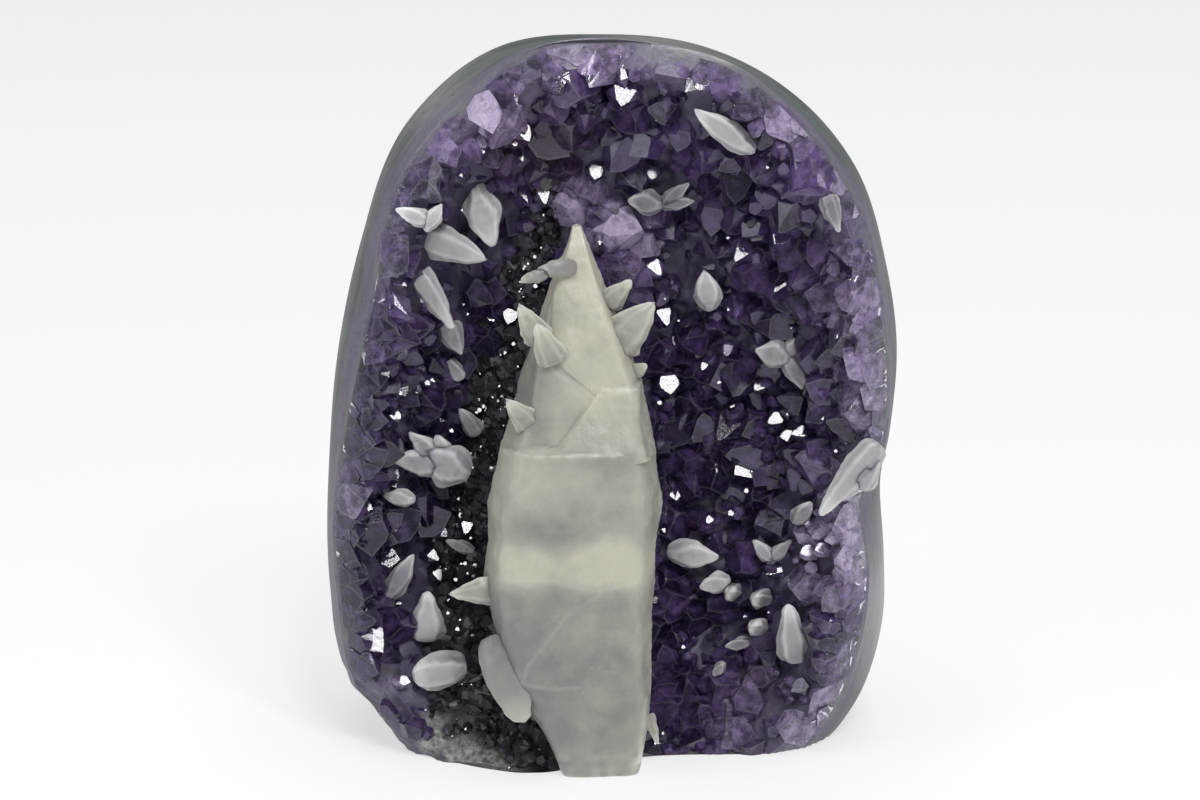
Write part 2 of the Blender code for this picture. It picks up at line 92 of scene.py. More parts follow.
# The ridge of dark quartz behind the large calcite: height, middle x, half width, how far forward it stands.
RIDGE: Line = (
    (-20, -17, 17, 11), (0, -17, 17, 12), (12, -16, 16, 16), (25, -14, 15, 18), (40, -11, 14, 16),
    (60, -9, 13, 13.5), (80, -7, 11, 13), (95, -4, 10, 11), (108, -3, 9, 6), (125, -3, 9, 0), (170, -3, 9, 0),
)

# Small calcites: node, then arms as root (x, z), tip (x, z), width.
LEAVES: tuple[tuple[str, Line], ...] = (
    ("leaf_upper_left", ((-27.9, 119.2, -24.1, 106.6, 7.1),)),
    ("leaf_left_flat", ((-38.8, 108.8, -25.4, 104.1, 7.4),)),
    ("leaf_left_lower", ((-39.8, 101.7, -32.4, 90.0, 5.5),)),
    ("bud_left", ((-33.9, 89.6, -30.9, 83.1, 5.0),)),
    ("bud_dark", ((-33.6, 81.6, -30.9, 77.4, 3.2),)),
    ("knot_upper_left", ((-37.0, 114.0, -43.3, 116.4, 3.8), (-36.6, 113.0, -34.0, 117.5, 3.4))),
    ("star_left", (
        (-36.0, 61.0, -42.0, 67.1, 5.2), (-35.6, 59.8, -45.3, 61.4, 6.0), (-30.8, 58.2, -39.4, 62.8, 9.6),
        (-34.4, 61.0, -36.4, 66.4, 4.8))),
    ("leaf_far_left", ((-40.6, 53.4, -47.4, 54.6, 3.7),)),
    ("leaf_grey_left", ((-27.8, 65.0, -31.7, 70.8, 4.0),)),
    ("leaf_dark_left", ((-28.8, 40.0, -34.7, 42.7, 2.9),)),
    ("leaf_violet_left", ((-47.0, 31.6, -41.0, 42.3, 4.6),)),
    ("leaf_lower_left", ((-38.6, 22.4, -38.2, 33.4, 6.9),)),
    ("egg_lower_left", ((-30.1, 18.4, -41.6, 16.8, 7.4),)),
    ("leaf_top_right", ((28.8, 127.1, 16.5, 136.4, 5.2),)),
    ("cluster_top", ((9.2, 114.4, 3.3, 115.2, 5.3), (10.8, 114.5, 15.9, 118.9, 3.1), (10.8, 114.3, 17.2, 115.0, 3.1))),
    ("leaf_right_centre", ((20.6, 90.8, 19.3, 99.9, 5.6),)),
    ("leaf_far_right", ((43.2, 119.0, 45.7, 111.7, 4.0),)),
    ("star_right", ((36.0, 82.0, 29.9, 83.6, 6.2), (35.9, 82.3, 41.2, 86.9, 3.7), (36.0, 82.1, 40.8, 74.7, 4.1))),
    ("ridge_right", ((53.8, 66.4, 42.6, 53.0, 6.4), (51.4, 59.8, 54.4, 65.0, 5.8))),
    ("bud_right", ((37.9, 48.0, 41.7, 52.7, 4.2),)),
    ("leaf_by_calcite", ((11.8, 38.4, 22.9, 37.8, 6.1),)),
    ("leaf_right_low", ((25.4, 33.1, 18.7, 31.6, 4.7),)),
    ("cluster_low_right", ((33.6, 38.4, 29.9, 42.7, 3.4), (33.8, 38.4, 38.0, 42.6, 3.2))),
    ("spire_lower_right", ((38.7, 18.1, 36.9, 31.3, 6.5),)),
    ("chip_right", ((30.2, 21.1, 24.0, 20.2, 2.9),)),
    ("chip_low", ((23.9, 16.9, 21.6, 13.9, 2.4),)),
)
# Stubby small calcites that point out of the bowl: node, middle (x, z), width.
BEADS: tuple[tuple[str, float, float, float], ...] = (
    ("bead_middle", 27.3, 29.5, 4.0), ("bead_upper", 33.8, 29.4, 4.6), ("bead_lower", 32.9, 23.0, 4.0),
)
SMALL_OUT, SMALL_PROUD, SMALL_LEAN, ARM_OVERLAP, BEAD_LENGTH, BEAD_SEAT = 4.8, 0.6, 0.16, 1.5, 6.0, 1.0
# The clearer calcites, and how far the dark crust shows through them, from least to most. The rest stay below CLOUDED.
CLEARER: dict[str, tuple[float, float]] = dict.fromkeys(
    ("leaf_grey_left", "leaf_dark_left", "leaf_violet_left", "bud_dark", "bud_left", "cluster_top", "chip_right",
     "chip_low", "bead_middle", "bead_upper", "bead_lower", "bud_right", "leaf_far_right"), (0.55, 0.85)
) | dict.fromkeys(
    ("egg_lower_left", "ridge_right", "leaf_top_right", "star_right"), (0.25, 0.4)
) | {"calcite_lobes": (0.5, 0.6)}
CLOUDED = (0.0, 0.12)

# Crystals with one face that mirrors a window: x, z, size of the face.
MIRRORS: Line = (
    (2.7, 139.3, 5.8), (18.0, 142.9, 2.7), (32.0, 137.6, 2.4), (38.4, 128.1, 2.5), (35.9, 108.4, 4.4),
    (7.7, 100.1, 3.9), (-14.2, 116.1, 3.0), (-21.1, 89.9, 3.5), (-26.0, 89.9, 1.7), (-47.4, 99.0, 3.3),
    (-20.0, 141.9, 4.5), (36.1, 86.8, 1.6), (11.8, 74.4, 4.6), (32.0, 74.7, 2.5), (20.2, 78.5, 1.6),
    (26.5, 68.1, 2.5), (35.8, 67.8, 3.2), (38.2, 64.3, 2.8), (40.9, 65.8, 3.1), (-37.0, 44.0, 2.1),
    (-30.4, 44.8, 2.8), (-39.1, 39.3, 2.5), (42.5, 41.4, 2.7), (44.9, 42.9, 2.4), (-20.6, 129.3, 1.6),
    (21.7, 44.9, 1.6), (-46.0, 72.0, 2.1), (-50.7, 86.5, 1.5), (-38.5, 119.9, 1.9), (10.3, 89.4, 4.0),
    (-45.0, 15.5, 2.1), (8.3, 121.4, 2.9), (-18.4, 130.9, 3.6), (-3.3, 121.5, 3.2),
)


class Sheet(Enum):
    """The sheets of the bowl, as (share of the rim's radius, depth) from the middle outwards."""

    HOLLOW = ((0.0, 11.5), (0.28, 10.6), (0.5, 8.7), (0.7, 4.9), (0.84, -0.6), (0.93, -7.8), (1.0, RIM_Y))
    LINING = ((0.0, 5.0), (0.25, 4.2), (0.45, 1.5), (0.62, -3.0), (0.76, -10.0), (0.86, -17.0), (0.95, -23.0))
    POLISHED = ((0.66, -44.0), (0.82, -27.5), (0.93, -22.2), (1.0, RIM_Y))


class Slot(Enum):
    """The record's material slots."""

    ROCK = "rock"
    AMETHYST = "amethyst"
    CALCITE = "calcite"
    FROSTED = "frosted_calcite"


def smooth_through(x: Array, xs: Array, ys: Array) -> Array:
    """Reads a smooth curve through points: a cubic between neighbours, with slopes from the points on either side.

    Args:
        x: Where to read it.
        xs: The points' places, rising.
        ys: The points' values.

    Returns:
        The values at x, held level past the ends.
    """
    slope = np.gradient(ys, xs)
    i = np.clip(np.searchsorted(xs, x) - 1, 0, len(xs) - 2)
    step = xs[i + 1] - xs[i]
    t = np.clip((x - xs[i]) / step, 0.0, 1.0)
    start = (1 + 2 * t) * (1 - t) ** 2 * ys[i] + t * (1 - t) ** 2 * step * slope[i]
    return start + t * t * (3 - 2 * t) * ys[i + 1] + t * t * (t - 1) * step * slope[i + 1]


def soft_step(x: Array, low: float, high: float) -> Array:
    """Rises from 0 at low to 1 at high, as 3 t squared less 2 t cubed."""
    t = np.clip((x - low) / (high - low), 0.0, 1.0)
    return t * t * (3 - 2 * t)


def lattice_noise(points: Array, size: float, seed: int) -> Array:
    """Smooth noise: random values on a cubic lattice, blended between its eight nearest corners by soft steps.

    Args:
        points: Places, with x, y, z on the last axis.
        size: The lattice's spacing.
        seed: Chooses the values.

    Returns:
        Values from -1 to 1, one for each place.
    """
    scaled = np.asarray(points, float) / size
    cell = np.floor(scaled).astype(np.int64)
    t = scaled - cell
    t = t * t * (3 - 2 * t)
    total = np.zeros(scaled.shape[:-1])
    for corner in range(8):
        step = np.array([corner & 1, corner >> 1 & 1, corner >> 2 & 1])
        near = cell + step
        mixed = near[..., 0] * 73856093 ^ near[..., 1] * 19349663 ^ near[..., 2] * 83492791 ^ seed * 2654435761
        mixed = (mixed ^ mixed >> 13) * 1274126177 & 0xFFFFFFFF
        value = (mixed >> 8 & 0xFFFF) / 32767.5 - 1.0
        total += np.prod(np.where(step == 1, t, 1 - t), axis=-1) * value
    return total


def unit(vectors: Array) -> Array:
    """Vectors divided by their lengths."""
    return vectors / np.maximum(np.linalg.norm(vectors, axis=-1, keepdims=True), 1e-12)


@dataclass(frozen=True)
class GeodeForm:
    """The specimen's lines and sheets, which every piece is set against."""

    outer_line: Line = OUTER_LINE
    rim_line: Line = RIM_LINE
    ridge_table: Line = RIDGE
    centre_z: float = CENTRE_Z
    broken_angle: float = -2.13  # where the edge is broken, at the lower left, in radians
    broken_half: float = 0.26  # half of that stretch

    def radius(self, line: Line, angle: Array) -> Array:
        """Distance from the bowl's middle to a closed line: a smooth curve of distance over angle, taken round.

        Noise of the angle makes it ragged where the edge is broken, fading out by a bell curve to both sides.

        Args:
            line: The line's points, as (x, z).
            angle: Directions, in radians.

        Returns:
            One distance for each direction.
        """
        offset = np.array(line, float) - (0.0, self.centre_z)
        turn = np.arctan2(offset[:, 1], offset[:, 0])
        order = np.argsort(turn)
        turn, reach = turn[order], np.hypot(offset[order, 0], offset[order, 1])
        turns = np.concatenate([turn - 2 * math.pi, turn, turn + 2 * math.pi])
        angle = (angle + math.pi) % (2 * math.pi) - math.pi
        place = np.stack([angle, np.zeros_like(angle), np.zeros_like(angle)], axis=-1)
        ragged = 1.3 * lattice_noise(place, 0.085, 71) + 0.7 * lattice_noise(place, 0.034, 72)
        return smooth_through(angle, turns, np.tile(reach, 3)) + ragged * self.broken(angle)

    def broken(self, angle: Array) -> Array:
        """1 in the middle of the broken stretch of the edge, and 0 away from it: a bell curve of the angle."""
        return np.exp(-(((angle - self.broken_angle) / self.broken_half) ** 2))

    def broken_at(self, x: Array, z: Array) -> Array:
        """How far a place lies in the broken stretch, close to the edge."""
        return self.broken(np.arctan2(z - self.centre_z, x)) * soft_step(self.share(x, z), 0.7, 0.85)

    def share(self, x: Array, z: Array) -> Array:
        """How far out of the bowl's middle a place lies, as a share of the rim's distance in that direction."""
        dz = z - self.centre_z
        return np.hypot(x, dz) / self.radius(self.rim_line, np.arctan2(dz, x))

    def ridge(self, x: Array, z: Array) -> Array:
        """How far the quartz ridge stands forward: a bell curve across x, whose middle and width follow the height."""
        heights, middles, widths, forward = np.array(self.ridge_table, float).T
        middle, width, out = (smooth_through(z, heights, values) for values in (middles, widths, forward))
        return out * np.exp(-(((x - middle) / width) ** 2))

    def depth(self, sheet: Sheet, x: Array, z: Array) -> Array:
        """Depth of a sheet: its profile read at the place's share, brought forward by the ridge except at the back."""
        shares, depths = np.array(sheet.value, float).T
        forward = 0.0 if sheet is Sheet.HOLLOW else self.ridge(x, z)
        return smooth_through(self.share(x, z), shares, depths) - forward

    def bed(self, x: Array, z: Array) -> Array:
        """Depth of the ground between crystals: the lining, ground back to the polished sheet where it stands proud."""
        return np.maximum(self.depth(Sheet.LINING, x, z), self.depth(Sheet.POLISHED, x, z))

    def normal(self, x: Array, z: Array) -> Array:
        """Direction away from the rock: the lining's slopes over 1 mm each way, with -1 for y, made unit length."""
        lining = Sheet.LINING
        slope_x = (self.depth(lining, x + 1, z) - self.depth(lining, x - 1, z)) / 2
        slope_z = (self.depth(lining, x, z + 1) - self.depth(lining, x, z - 1)) / 2
        return unit(np.stack([slope_x, -np.ones_like(slope_x), slope_z], axis=-1))


FORM = GeodeForm()


@dataclass(frozen=True)
class Blotch:
    """A round patch of the bowl that differs in colour."""

    x: float
    z: float
    radius: float
    amount: float


@dataclass(frozen=True)
class ColourMap:
    """Where the crust is pale, dark, bare or brownish, as smooth fields over the front view."""

    pale: tuple[Blotch, ...] = (
        Blotch(-27, 136, 10, 0.9), Blotch(-35, 128, 7, 0.8), Blotch(-10, 146, 7, 0.7),
        Blotch(-9, 112, 8, 1.0), Blotch(2, 107, 9, 1.0), Blotch(51, 96, 8, 0.8), Blotch(53, 84, 8, 0.78),
        Blotch(47, 42, 12, 1.0), Blotch(43, 36, 8, 0.9), Blotch(48, 55, 7, 0.85), Blotch(39, 9, 9, 0.6),
        Blotch(27, 6, 9, 0.55),
        Blotch(15, 4, 6, 0.35), Blotch(-44, 14, 4, 0.8), Blotch(-55, 57, 4, 0.6), Blotch(-54, 41, 6, 0.2),
        Blotch(11, 76, 4, 0.45), Blotch(24, 63, 7, 0.25), Blotch(23, 46, 5, 0.3), Blotch(37, 97, 6, 0.2),
    )
    brown: tuple[Blotch, ...] = (Blotch(-16, 128, 8, 0.8), Blotch(-8, 124, 6, 0.6), Blotch(33, 12, 4, 0.5))
    bare: tuple[Blotch, ...] = (Blotch(-31, 1.4, 3.6, 1.0), Blotch(-37, 4.6, 3.0, 1.0), Blotch(-25, -0.4, 3.0, 0.9))
    deep: tuple[Blotch, ...] = (Blotch(-50, 44, 20, 0.85), Blotch(-56, 80, 10, 0.4))
    fine: tuple[Blotch, ...] = (Blotch(-41, 11, 8, 0.6), Blotch(38, 6, 9, 0.3), Blotch(-30, 8, 7, 0.5))
    # The near-black druse: height, left edge, right edge.
    druse: Line = (
        (-5, -31, -4), (3, -31, -4), (9, -38, -5), (17, -38.5, -6), (25, -36.5, -6), (35, -39, -6), (45, -38, -6),
        (55, -35.5, -6), (66, -31.5, -6), (77, -29, -6), (87, -25.5, -6), (96, -22.5, -8), (109, -17.5, -11),
        (120, -15.5, -12), (126, -13.5, -13),
    )

    @staticmethod
    def patches(blotches: tuple[Blotch, ...], x: Array, z: Array) -> Array:
        """The strongest of several round patches, each a bell curve of the distance from its middle."""
        total = np.zeros(np.shape(x))
        for b in blotches:
            total = np.maximum(total, b.amount * np.exp(-(((x - b.x) ** 2 + (z - b.z) ** 2) / b.radius**2)))
        return total

    def uneven(self, x: Array, z: Array, size: float, seed: int) -> Array:
        """Flat noise over the front view."""
        return lattice_noise(np.stack([x, np.zeros_like(x), z], axis=-1), size, seed)

    def paleness(self, x: Array, z: Array) -> Array:
        """0 in deep violet and 1 in lavender: the patches, and a rise towards the rim, both made uneven."""
        left = soft_step(-x, 20, 40) * (1 - soft_step(z, 92, 112))
        rim = (0.62 - 0.5 * left) * soft_step(FORM.share(x, z), 0.80, 0.99)
        mottled = 0.22 * self.uneven(x, z, 7.0, 3) + 0.12 * self.uneven(x, z, 3.0, 4)
        return np.clip(np.maximum(rim, self.patches(self.pale, x, z)) * (1 + mottled) + 0.25 * mottled, 0.0, 1.0)

    def darkness(self, x: Array, z: Array) -> Array:
        """1 in the near-black druse and 0 outside it, between the left and right edges of its table."""
        heights, lefts, rights = np.array(self.druse, float).T
        wobble = 1.8 * self.uneven(x, z, 8.0, 5) + 0.9 * self.uneven(x, z, 3.0, 6)
        left, right = np.interp(z, heights, lefts) + wobble, np.interp(z, heights, rights) + wobble
        top = 1 - soft_step(z, 120, 127)
        return soft_step(x - left, -1.2, 1.8) * (1 - soft_step(x - right, -1.5, 1.5)) * top

    def brownness(self, x: Array, z: Array) -> Array:
        """How brown the deep violet is."""
        return self.patches(self.brown, x, z)

    def agate_share(self, x: Array, z: Array) -> Array:
        """How far the violet quartz has given way to grey agate, which it does unevenly close to the rim."""
        mottled = 0.03 * self.uneven(x, z, 6.0, 7) + 0.018 * self.uneven(x, z, 2.2, 8)
        return 0.85 * soft_step(FORM.share(x, z) + mottled, 0.955, 1.03)

    def bareness(self, x: Array, z: Array) -> Array:
        """1 where grey agate shows and no crystals grow."""
        return np.clip(1.6 * self.patches(self.bare, x, z) + 0.3 * self.uneven(x, z, 2.6, 9), 0.0, 1.0) * (z < 14)


COLOURS = ColourMap()


def linear(hex_colour: str) -> tuple[float, float, float, float]:
    """An sRGB hex colour as linear red, green, blue and alpha.

    Args:
        hex_colour: Six hex digits, with or without a leading #.

    Returns:
        Four numbers from 0 to 1.
    """
    digits = hex_colour.lstrip("#")
    values = [int(digits[i:i + 2], 16) / 255 for i in (0, 2, 4)]
    light = [v / 12.92 if v <= 0.04045 else ((v + 0.055) / 1.055) ** 2.4 for v in values]
    return light[0], light[1], light[2], 1.0


def add_node(
    tree: bpy.types.NodeTree, kind: str, inputs: dict | None = None, **settings: str | bool
) -> bpy.types.Node:
    """Adds one shader node with its settings and links.

    Args:
        tree: The material's or world's nodes.
        kind: The node's type, without the ShaderNode that every type starts with.
        inputs: What goes into its sockets, by name or number: a value, an output, or a node for the first output
            that it has in use.
        settings: Its properties.

    Returns:
        The node.
    """
    made = tree.nodes.new("ShaderNode" + kind)
    for key, value in settings.items():
        setattr(made, key, value)
    for key, value in (inputs or {}).items():
        if isinstance(value, bpy.types.Node):
            value = next(output for output in value.outputs if output.enabled)
        if isinstance(value, bpy.types.NodeSocket):
            tree.links.new(value, made.inputs[key])
        else:
            made.inputs[key].default_value = value
    return made


@dataclass(frozen=True)
class Finish:
    """What every finish shares: a named material with empty nodes, and object coordinates in millimetres."""

    name: str

    def blank(self) -> tuple[bpy.types.Material, bpy.types.NodeTree, bpy.types.NodeSocket]:
        """Makes the material.

        Returns:
            The material, its nodes, and the place on the piece in millimetres.
        """
        made = bpy.data.materials.new(self.name)
        made.use_nodes = True
        tree = made.node_tree
        tree.nodes.clear()
        place = add_node(tree, "TexCoord")
        scaled = add_node(tree, "VectorMath", {0: place.outputs["Object"], "Scale": 1 / MM}, operation="SCALE")
        return made, tree, scaled.outputs[0]

    @staticmethod
    def field(tree: bpy.types.NodeTree, name: str) -> bpy.types.NodeSocket:
        """Reads one of the piece's own fields."""
        return add_node(tree, "Attribute", attribute_name=name).outputs["Fac"]


@dataclass(frozen=True)
class AmethystQuartz(Finish):
    """Amethyst, which is clear quartz coloured violet by iron, as grown.

    Its flat natural faces are glass-smooth, so each one is either a clean white glint or a dark window. The colour is
    inside, so thick places and tips read almost black and thin or cracked ones lavender.
    """

    name: str = "amethyst_quartz_as_grown"
    deep: str = "#3f2b55"
    violet: str = "#9676c0"
    lavender: str = "#cdbbe0"
    brown: str = "#5d4048"
    veil_mm: float = 2.4  # spacing of the cloudy veils inside a crystal
    film_mm: float = 0.35  # growth marks on a face, drawn coarser than real ones so that they show
    agate: str = "#7e8381"
    thread: str = "#ebe4f4"  # healed cracks, which scatter the light, and the painted highlight along the border of each face
    tip_shift: float = -0.3  # how much darker the tips are than the roots
    heart_shift: float = 0.3  # how much lighter the middle of a face is than its border
    # A painted highlight along the border of each face, standing in for light caught on its edges: how wide, as a share
    # of the way to the face's middle, and how strong.
    edge_highlight_width: float = 0.13
    painted_edge_highlight: float = 0.3
    wisp_mm: float = 1.9
    transmission: float = 0.74
    milky_loss: float = -0.42  # how much less clear the palest crystals are
    roughness: float = 0.07
    ior: float = 1.544
    absorbed: str = "#b08ed6"
    density: float = 120.0

    def make(self) -> bpy.types.Material:
        """Builds the material."""
        made, tree, place = self.blank()
        names = ("pale", "shade", "brown", "rise", "inner", "agate")
        pale, shade, brown, rise, inner, agate = (self.field(tree, name) for name in names)
        veil = add_node(
            tree, "TexNoise", {"Vector": place, "Scale": 1 / self.veil_mm, "Detail": 4.0, "Roughness": 0.62}
        )
        cloudy = add_node(tree, "MapRange", {0: veil, 1: 0.36, 2: 0.66, 3: -0.35, 4: 0.45})
        zoned = add_node(tree, "Math", {0: rise, 1: self.tip_shift, 2: shade}, operation="MULTIPLY_ADD")
        heart = add_node(tree, "Math", {0: inner, 1: self.heart_shift, 2: zoned}, operation="MULTIPLY_ADD")
        tone = add_node(tree, "Math", {0: heart, 1: cloudy}, operation="ADD", use_clamp=True)
        body = add_node(tree, "Mix", {0: tone, 6: linear(self.deep), 7: linear(self.violet)}, data_type="RGBA")
        earthy = add_node(tree, "Mix", {0: brown, 6: body, 7: linear(self.brown)}, data_type="RGBA")
        milk = add_node(tree, "Math", {0: cloudy, 1: 0.8, 2: pale}, operation="MULTIPLY_ADD", use_clamp=True)
        milky = add_node(tree, "Math", {0: milk, 1: pale}, operation="MULTIPLY", use_clamp=True)
        paler = add_node(tree, "Mix", {0: milky, 6: earthy, 7: linear(self.lavender)}, data_type="RGBA")
        greyer = add_node(tree, "Mix", {0: agate, 6: paler, 7: linear(self.agate)}, data_type="RGBA")
        # Painted highlight: lighter in a thin band along each face's border, where edges would catch the light.
        edge = add_node(tree, "MapRange", {0: inner, 1: 0.0, 2: self.edge_highlight_width, 3: self.painted_edge_highlight, 4: 0.0})
        swirl = add_node(
            tree, "TexNoise", {"Vector": place, "Scale": 1 / self.wisp_mm, "Detail": 2.0, "Distortion": 1.4}
        )
        off = add_node(tree, "Math", {0: swirl, 1: 0.5}, operation="SUBTRACT")
        near = add_node(tree, "Math", {0: off}, operation="ABSOLUTE")
        thread = add_node(tree, "MapRange", {0: near, 1: 0.0, 2: 0.026, 3: 1.0, 4: 0.0})
        seen = add_node(tree, "Math", {0: thread, 1: milky}, operation="MULTIPLY", use_clamp=True)
        bright = add_node(tree, "Math", {0: seen, 1: edge}, operation="MAXIMUM")
        colour = add_node(tree, "Mix", {0: bright, 6: greyer, 7: linear(self.thread)}, data_type="RGBA")
        film = add_node(tree, "TexNoise", {"Vector": place, "Scale": 1 / self.film_mm, "Detail": 2.0})
        rough = add_node(tree, "MapRange", {0: film, 1: 0.45, 2: 0.75, 3: self.roughness, 4: self.roughness + 0.16})
        bump = add_node(tree, "Bump", {"Strength": 0.2, "Distance": 0.06 * MM, "Height": film})
        clear = add_node(
            tree, "Math", {0: milky, 1: self.milky_loss, 2: self.transmission}, operation="MULTIPLY_ADD",
            use_clamp=True
        )
        shader = add_node(
            tree, "BsdfPrincipled",
            {"Base Color": colour, "Roughness": rough, "IOR": self.ior, "Transmission Weight": clear, "Normal": bump}
        )
        volume = add_node(tree, "VolumeAbsorption", {"Color": linear(self.absorbed), "Density": self.density})
        add_node(tree, "OutputMaterial", {"Surface": shader, "Volume": volume})
        return made


@dataclass(frozen=True)
class SmokyDruse(Finish):
    """Fine quartz over dark iron oxide, as grown: a black ground that sparkles, because every tiny face is a mirror."""

    name: str = "dark_quartz_druse"
    black: str = "#232226"
    grey: str = "#7f7e89"
    grain_mm: float = 1.1
    roughness: float = 0.1
    ior: float = 1.544

    def make(self) -> bpy.types.Material:
        """Builds the material."""
        made, tree, place = self.blank()
        shade = self.field(tree, "shade")
        grain = add_node(tree, "TexNoise", {"Vector": place, "Scale": 1 / self.grain_mm, "Detail": 3.0})
        tone = add_node(tree, "Math", {0: shade, 1: grain}, operation="MULTIPLY", use_clamp=True)
        colour = add_node(tree, "Mix", {0: tone, 6: linear(self.black), 7: linear(self.grey)}, data_type="RGBA")
        shader = add_node(
            tree, "BsdfPrincipled",
            {"Base Color": colour, "Roughness": self.roughness, "IOR": self.ior, "Transmission Weight": 0.25}
        )
        add_node(tree, "OutputMaterial", {"Surface": shader})
        return made


@dataclass(frozen=True)
class GroundQuartz(Finish):
    """The quartz ground that the crystals grow from, and the rim where the saw and polish cut across them.

    In the hollow it is a dark matrix. At the rim the polish shows cut crystals as pale cells with fine cracks.
    """

    name: str = "quartz_ground_and_polished"
    matrix: str = "#2a2038"
    cut_violet: str = "#42354f"
    cut_lavender: str = "#7d7190"
    agate: str = "#707571"
    line: str = "#a79fb4"
    cell_mm: float = 4.2  # crystals cut across at the rim
    crack_mm: float = 1.3
    night: str = "#0d0c10"  # under the near-black druse
    bare_dark: str = "#4c4e47"
    bare_light: str = "#a2a59e"
    ior: float = 1.544

    def make(self) -> bpy.types.Material:
        """Builds the material."""
        made, tree, place = self.blank()
        pale, dark, ground, bare, agate = (
            self.field(tree, name) for name in ("pale", "dark", "ground", "bare", "agate")
        )
        bent = add_node(tree, "TexNoise", {"Vector": place, "Scale": 0.3, "Detail": 2.0})
        moved = add_node(
            tree, "VectorMath", {0: bent.outputs[1], 1: (2.4, 2.4, 2.4), 2: place}, operation="MULTIPLY_ADD"
        )
        cells = add_node(tree, "TexVoronoi", {"Vector": moved, "Scale": 1 / self.cell_mm}, feature="DISTANCE_TO_EDGE")
        cell_tone = add_node(tree, "TexVoronoi", {"Vector": moved, "Scale": 1 / self.cell_mm})
        seam = add_node(tree, "MapRange", {0: cells, 1: 0.0, 2: 0.06, 3: 0.22, 4: 0.0})
        cracks = add_node(
            tree, "TexVoronoi", {"Vector": moved, "Scale": 1 / self.crack_mm}, feature="DISTANCE_TO_EDGE"
        )
        crack = add_node(tree, "MapRange", {0: cracks, 1: 0.0, 2: 0.05, 3: 0.14, 4: 0.0})
        fine = add_node(tree, "TexNoise", {"Vector": place, "Scale": 0.8, "Detail": 5.0, "Roughness": 0.6})
        split = add_node(tree, "SeparateColor", {0: cell_tone.outputs[1]})
        mixed = add_node(
            tree, "Math", {0: split.outputs[0], 1: 0.5, 2: pale}, operation="MULTIPLY_ADD", use_clamp=True
        )
        toned = add_node(tree, "Math", {0: mixed, 1: fine}, operation="MULTIPLY", use_clamp=True)
        cut = add_node(
            tree, "Mix", {0: toned, 6: linear(self.cut_violet), 7: linear(self.cut_lavender)}, data_type="RGBA"
        )
        lines = add_node(tree, "Math", {0: seam, 1: crack}, operation="MAXIMUM")
        veined = add_node(tree, "Mix", {0: lines, 6: cut, 7: linear(self.line)}, data_type="RGBA")
        skin = add_node(tree, "Mix", {0: agate, 6: veined, 7: linear(self.agate)}, data_type="RGBA")
        crumbs = add_node(tree, "MapRange", {0: split.outputs[1], 1: 0.0, 2: 1.0, 3: 0.0, 4: 0.45})
        floor = add_node(
            tree, "Mix", {0: crumbs, 6: linear(self.matrix), 7: linear(self.cut_lavender)}, data_type="RGBA"
        )
        hollow = add_node(tree, "Mix", {0: ground, 6: floor, 7: skin}, data_type="RGBA")
        night = add_node(tree, "Mix", {0: dark, 6: hollow, 7: linear(self.night)}, data_type="RGBA")
        grain = add_node(tree, "MapRange", {0: fine, 1: 0.36, 2: 0.64})
        grey = add_node(
            tree, "Mix", {0: grain, 6: linear(self.bare_dark), 7: linear(self.bare_light)}, data_type="RGBA"
        )
        colour = add_node(tree, "Mix", {0: bare, 6: night, 7: grey}, data_type="RGBA")
        worn = add_node(tree, "Math", {0: ground, 1: bare}, operation="SUBTRACT", use_clamp=True)
        rough = add_node(tree, "MapRange", {0: worn, 1: 0.0, 2: 1.0, 3: 0.5, 4: 0.26})
        bump = add_node(tree, "Bump", {"Strength": 0.45, "Distance": 0.2 * MM, "Height": fine})
        shader = add_node(
            tree, "BsdfPrincipled",
            {
                "Base Color": colour, "Roughness": rough, "IOR": self.ior, "Normal": bump, "Subsurface Weight": 0.25,
                "Subsurface Radius": (0.9, 0.7, 1.0), "Subsurface Scale": 1.5 * MM
            }
        )
        add_node(tree, "OutputMaterial", {"Surface": shader})
        return made


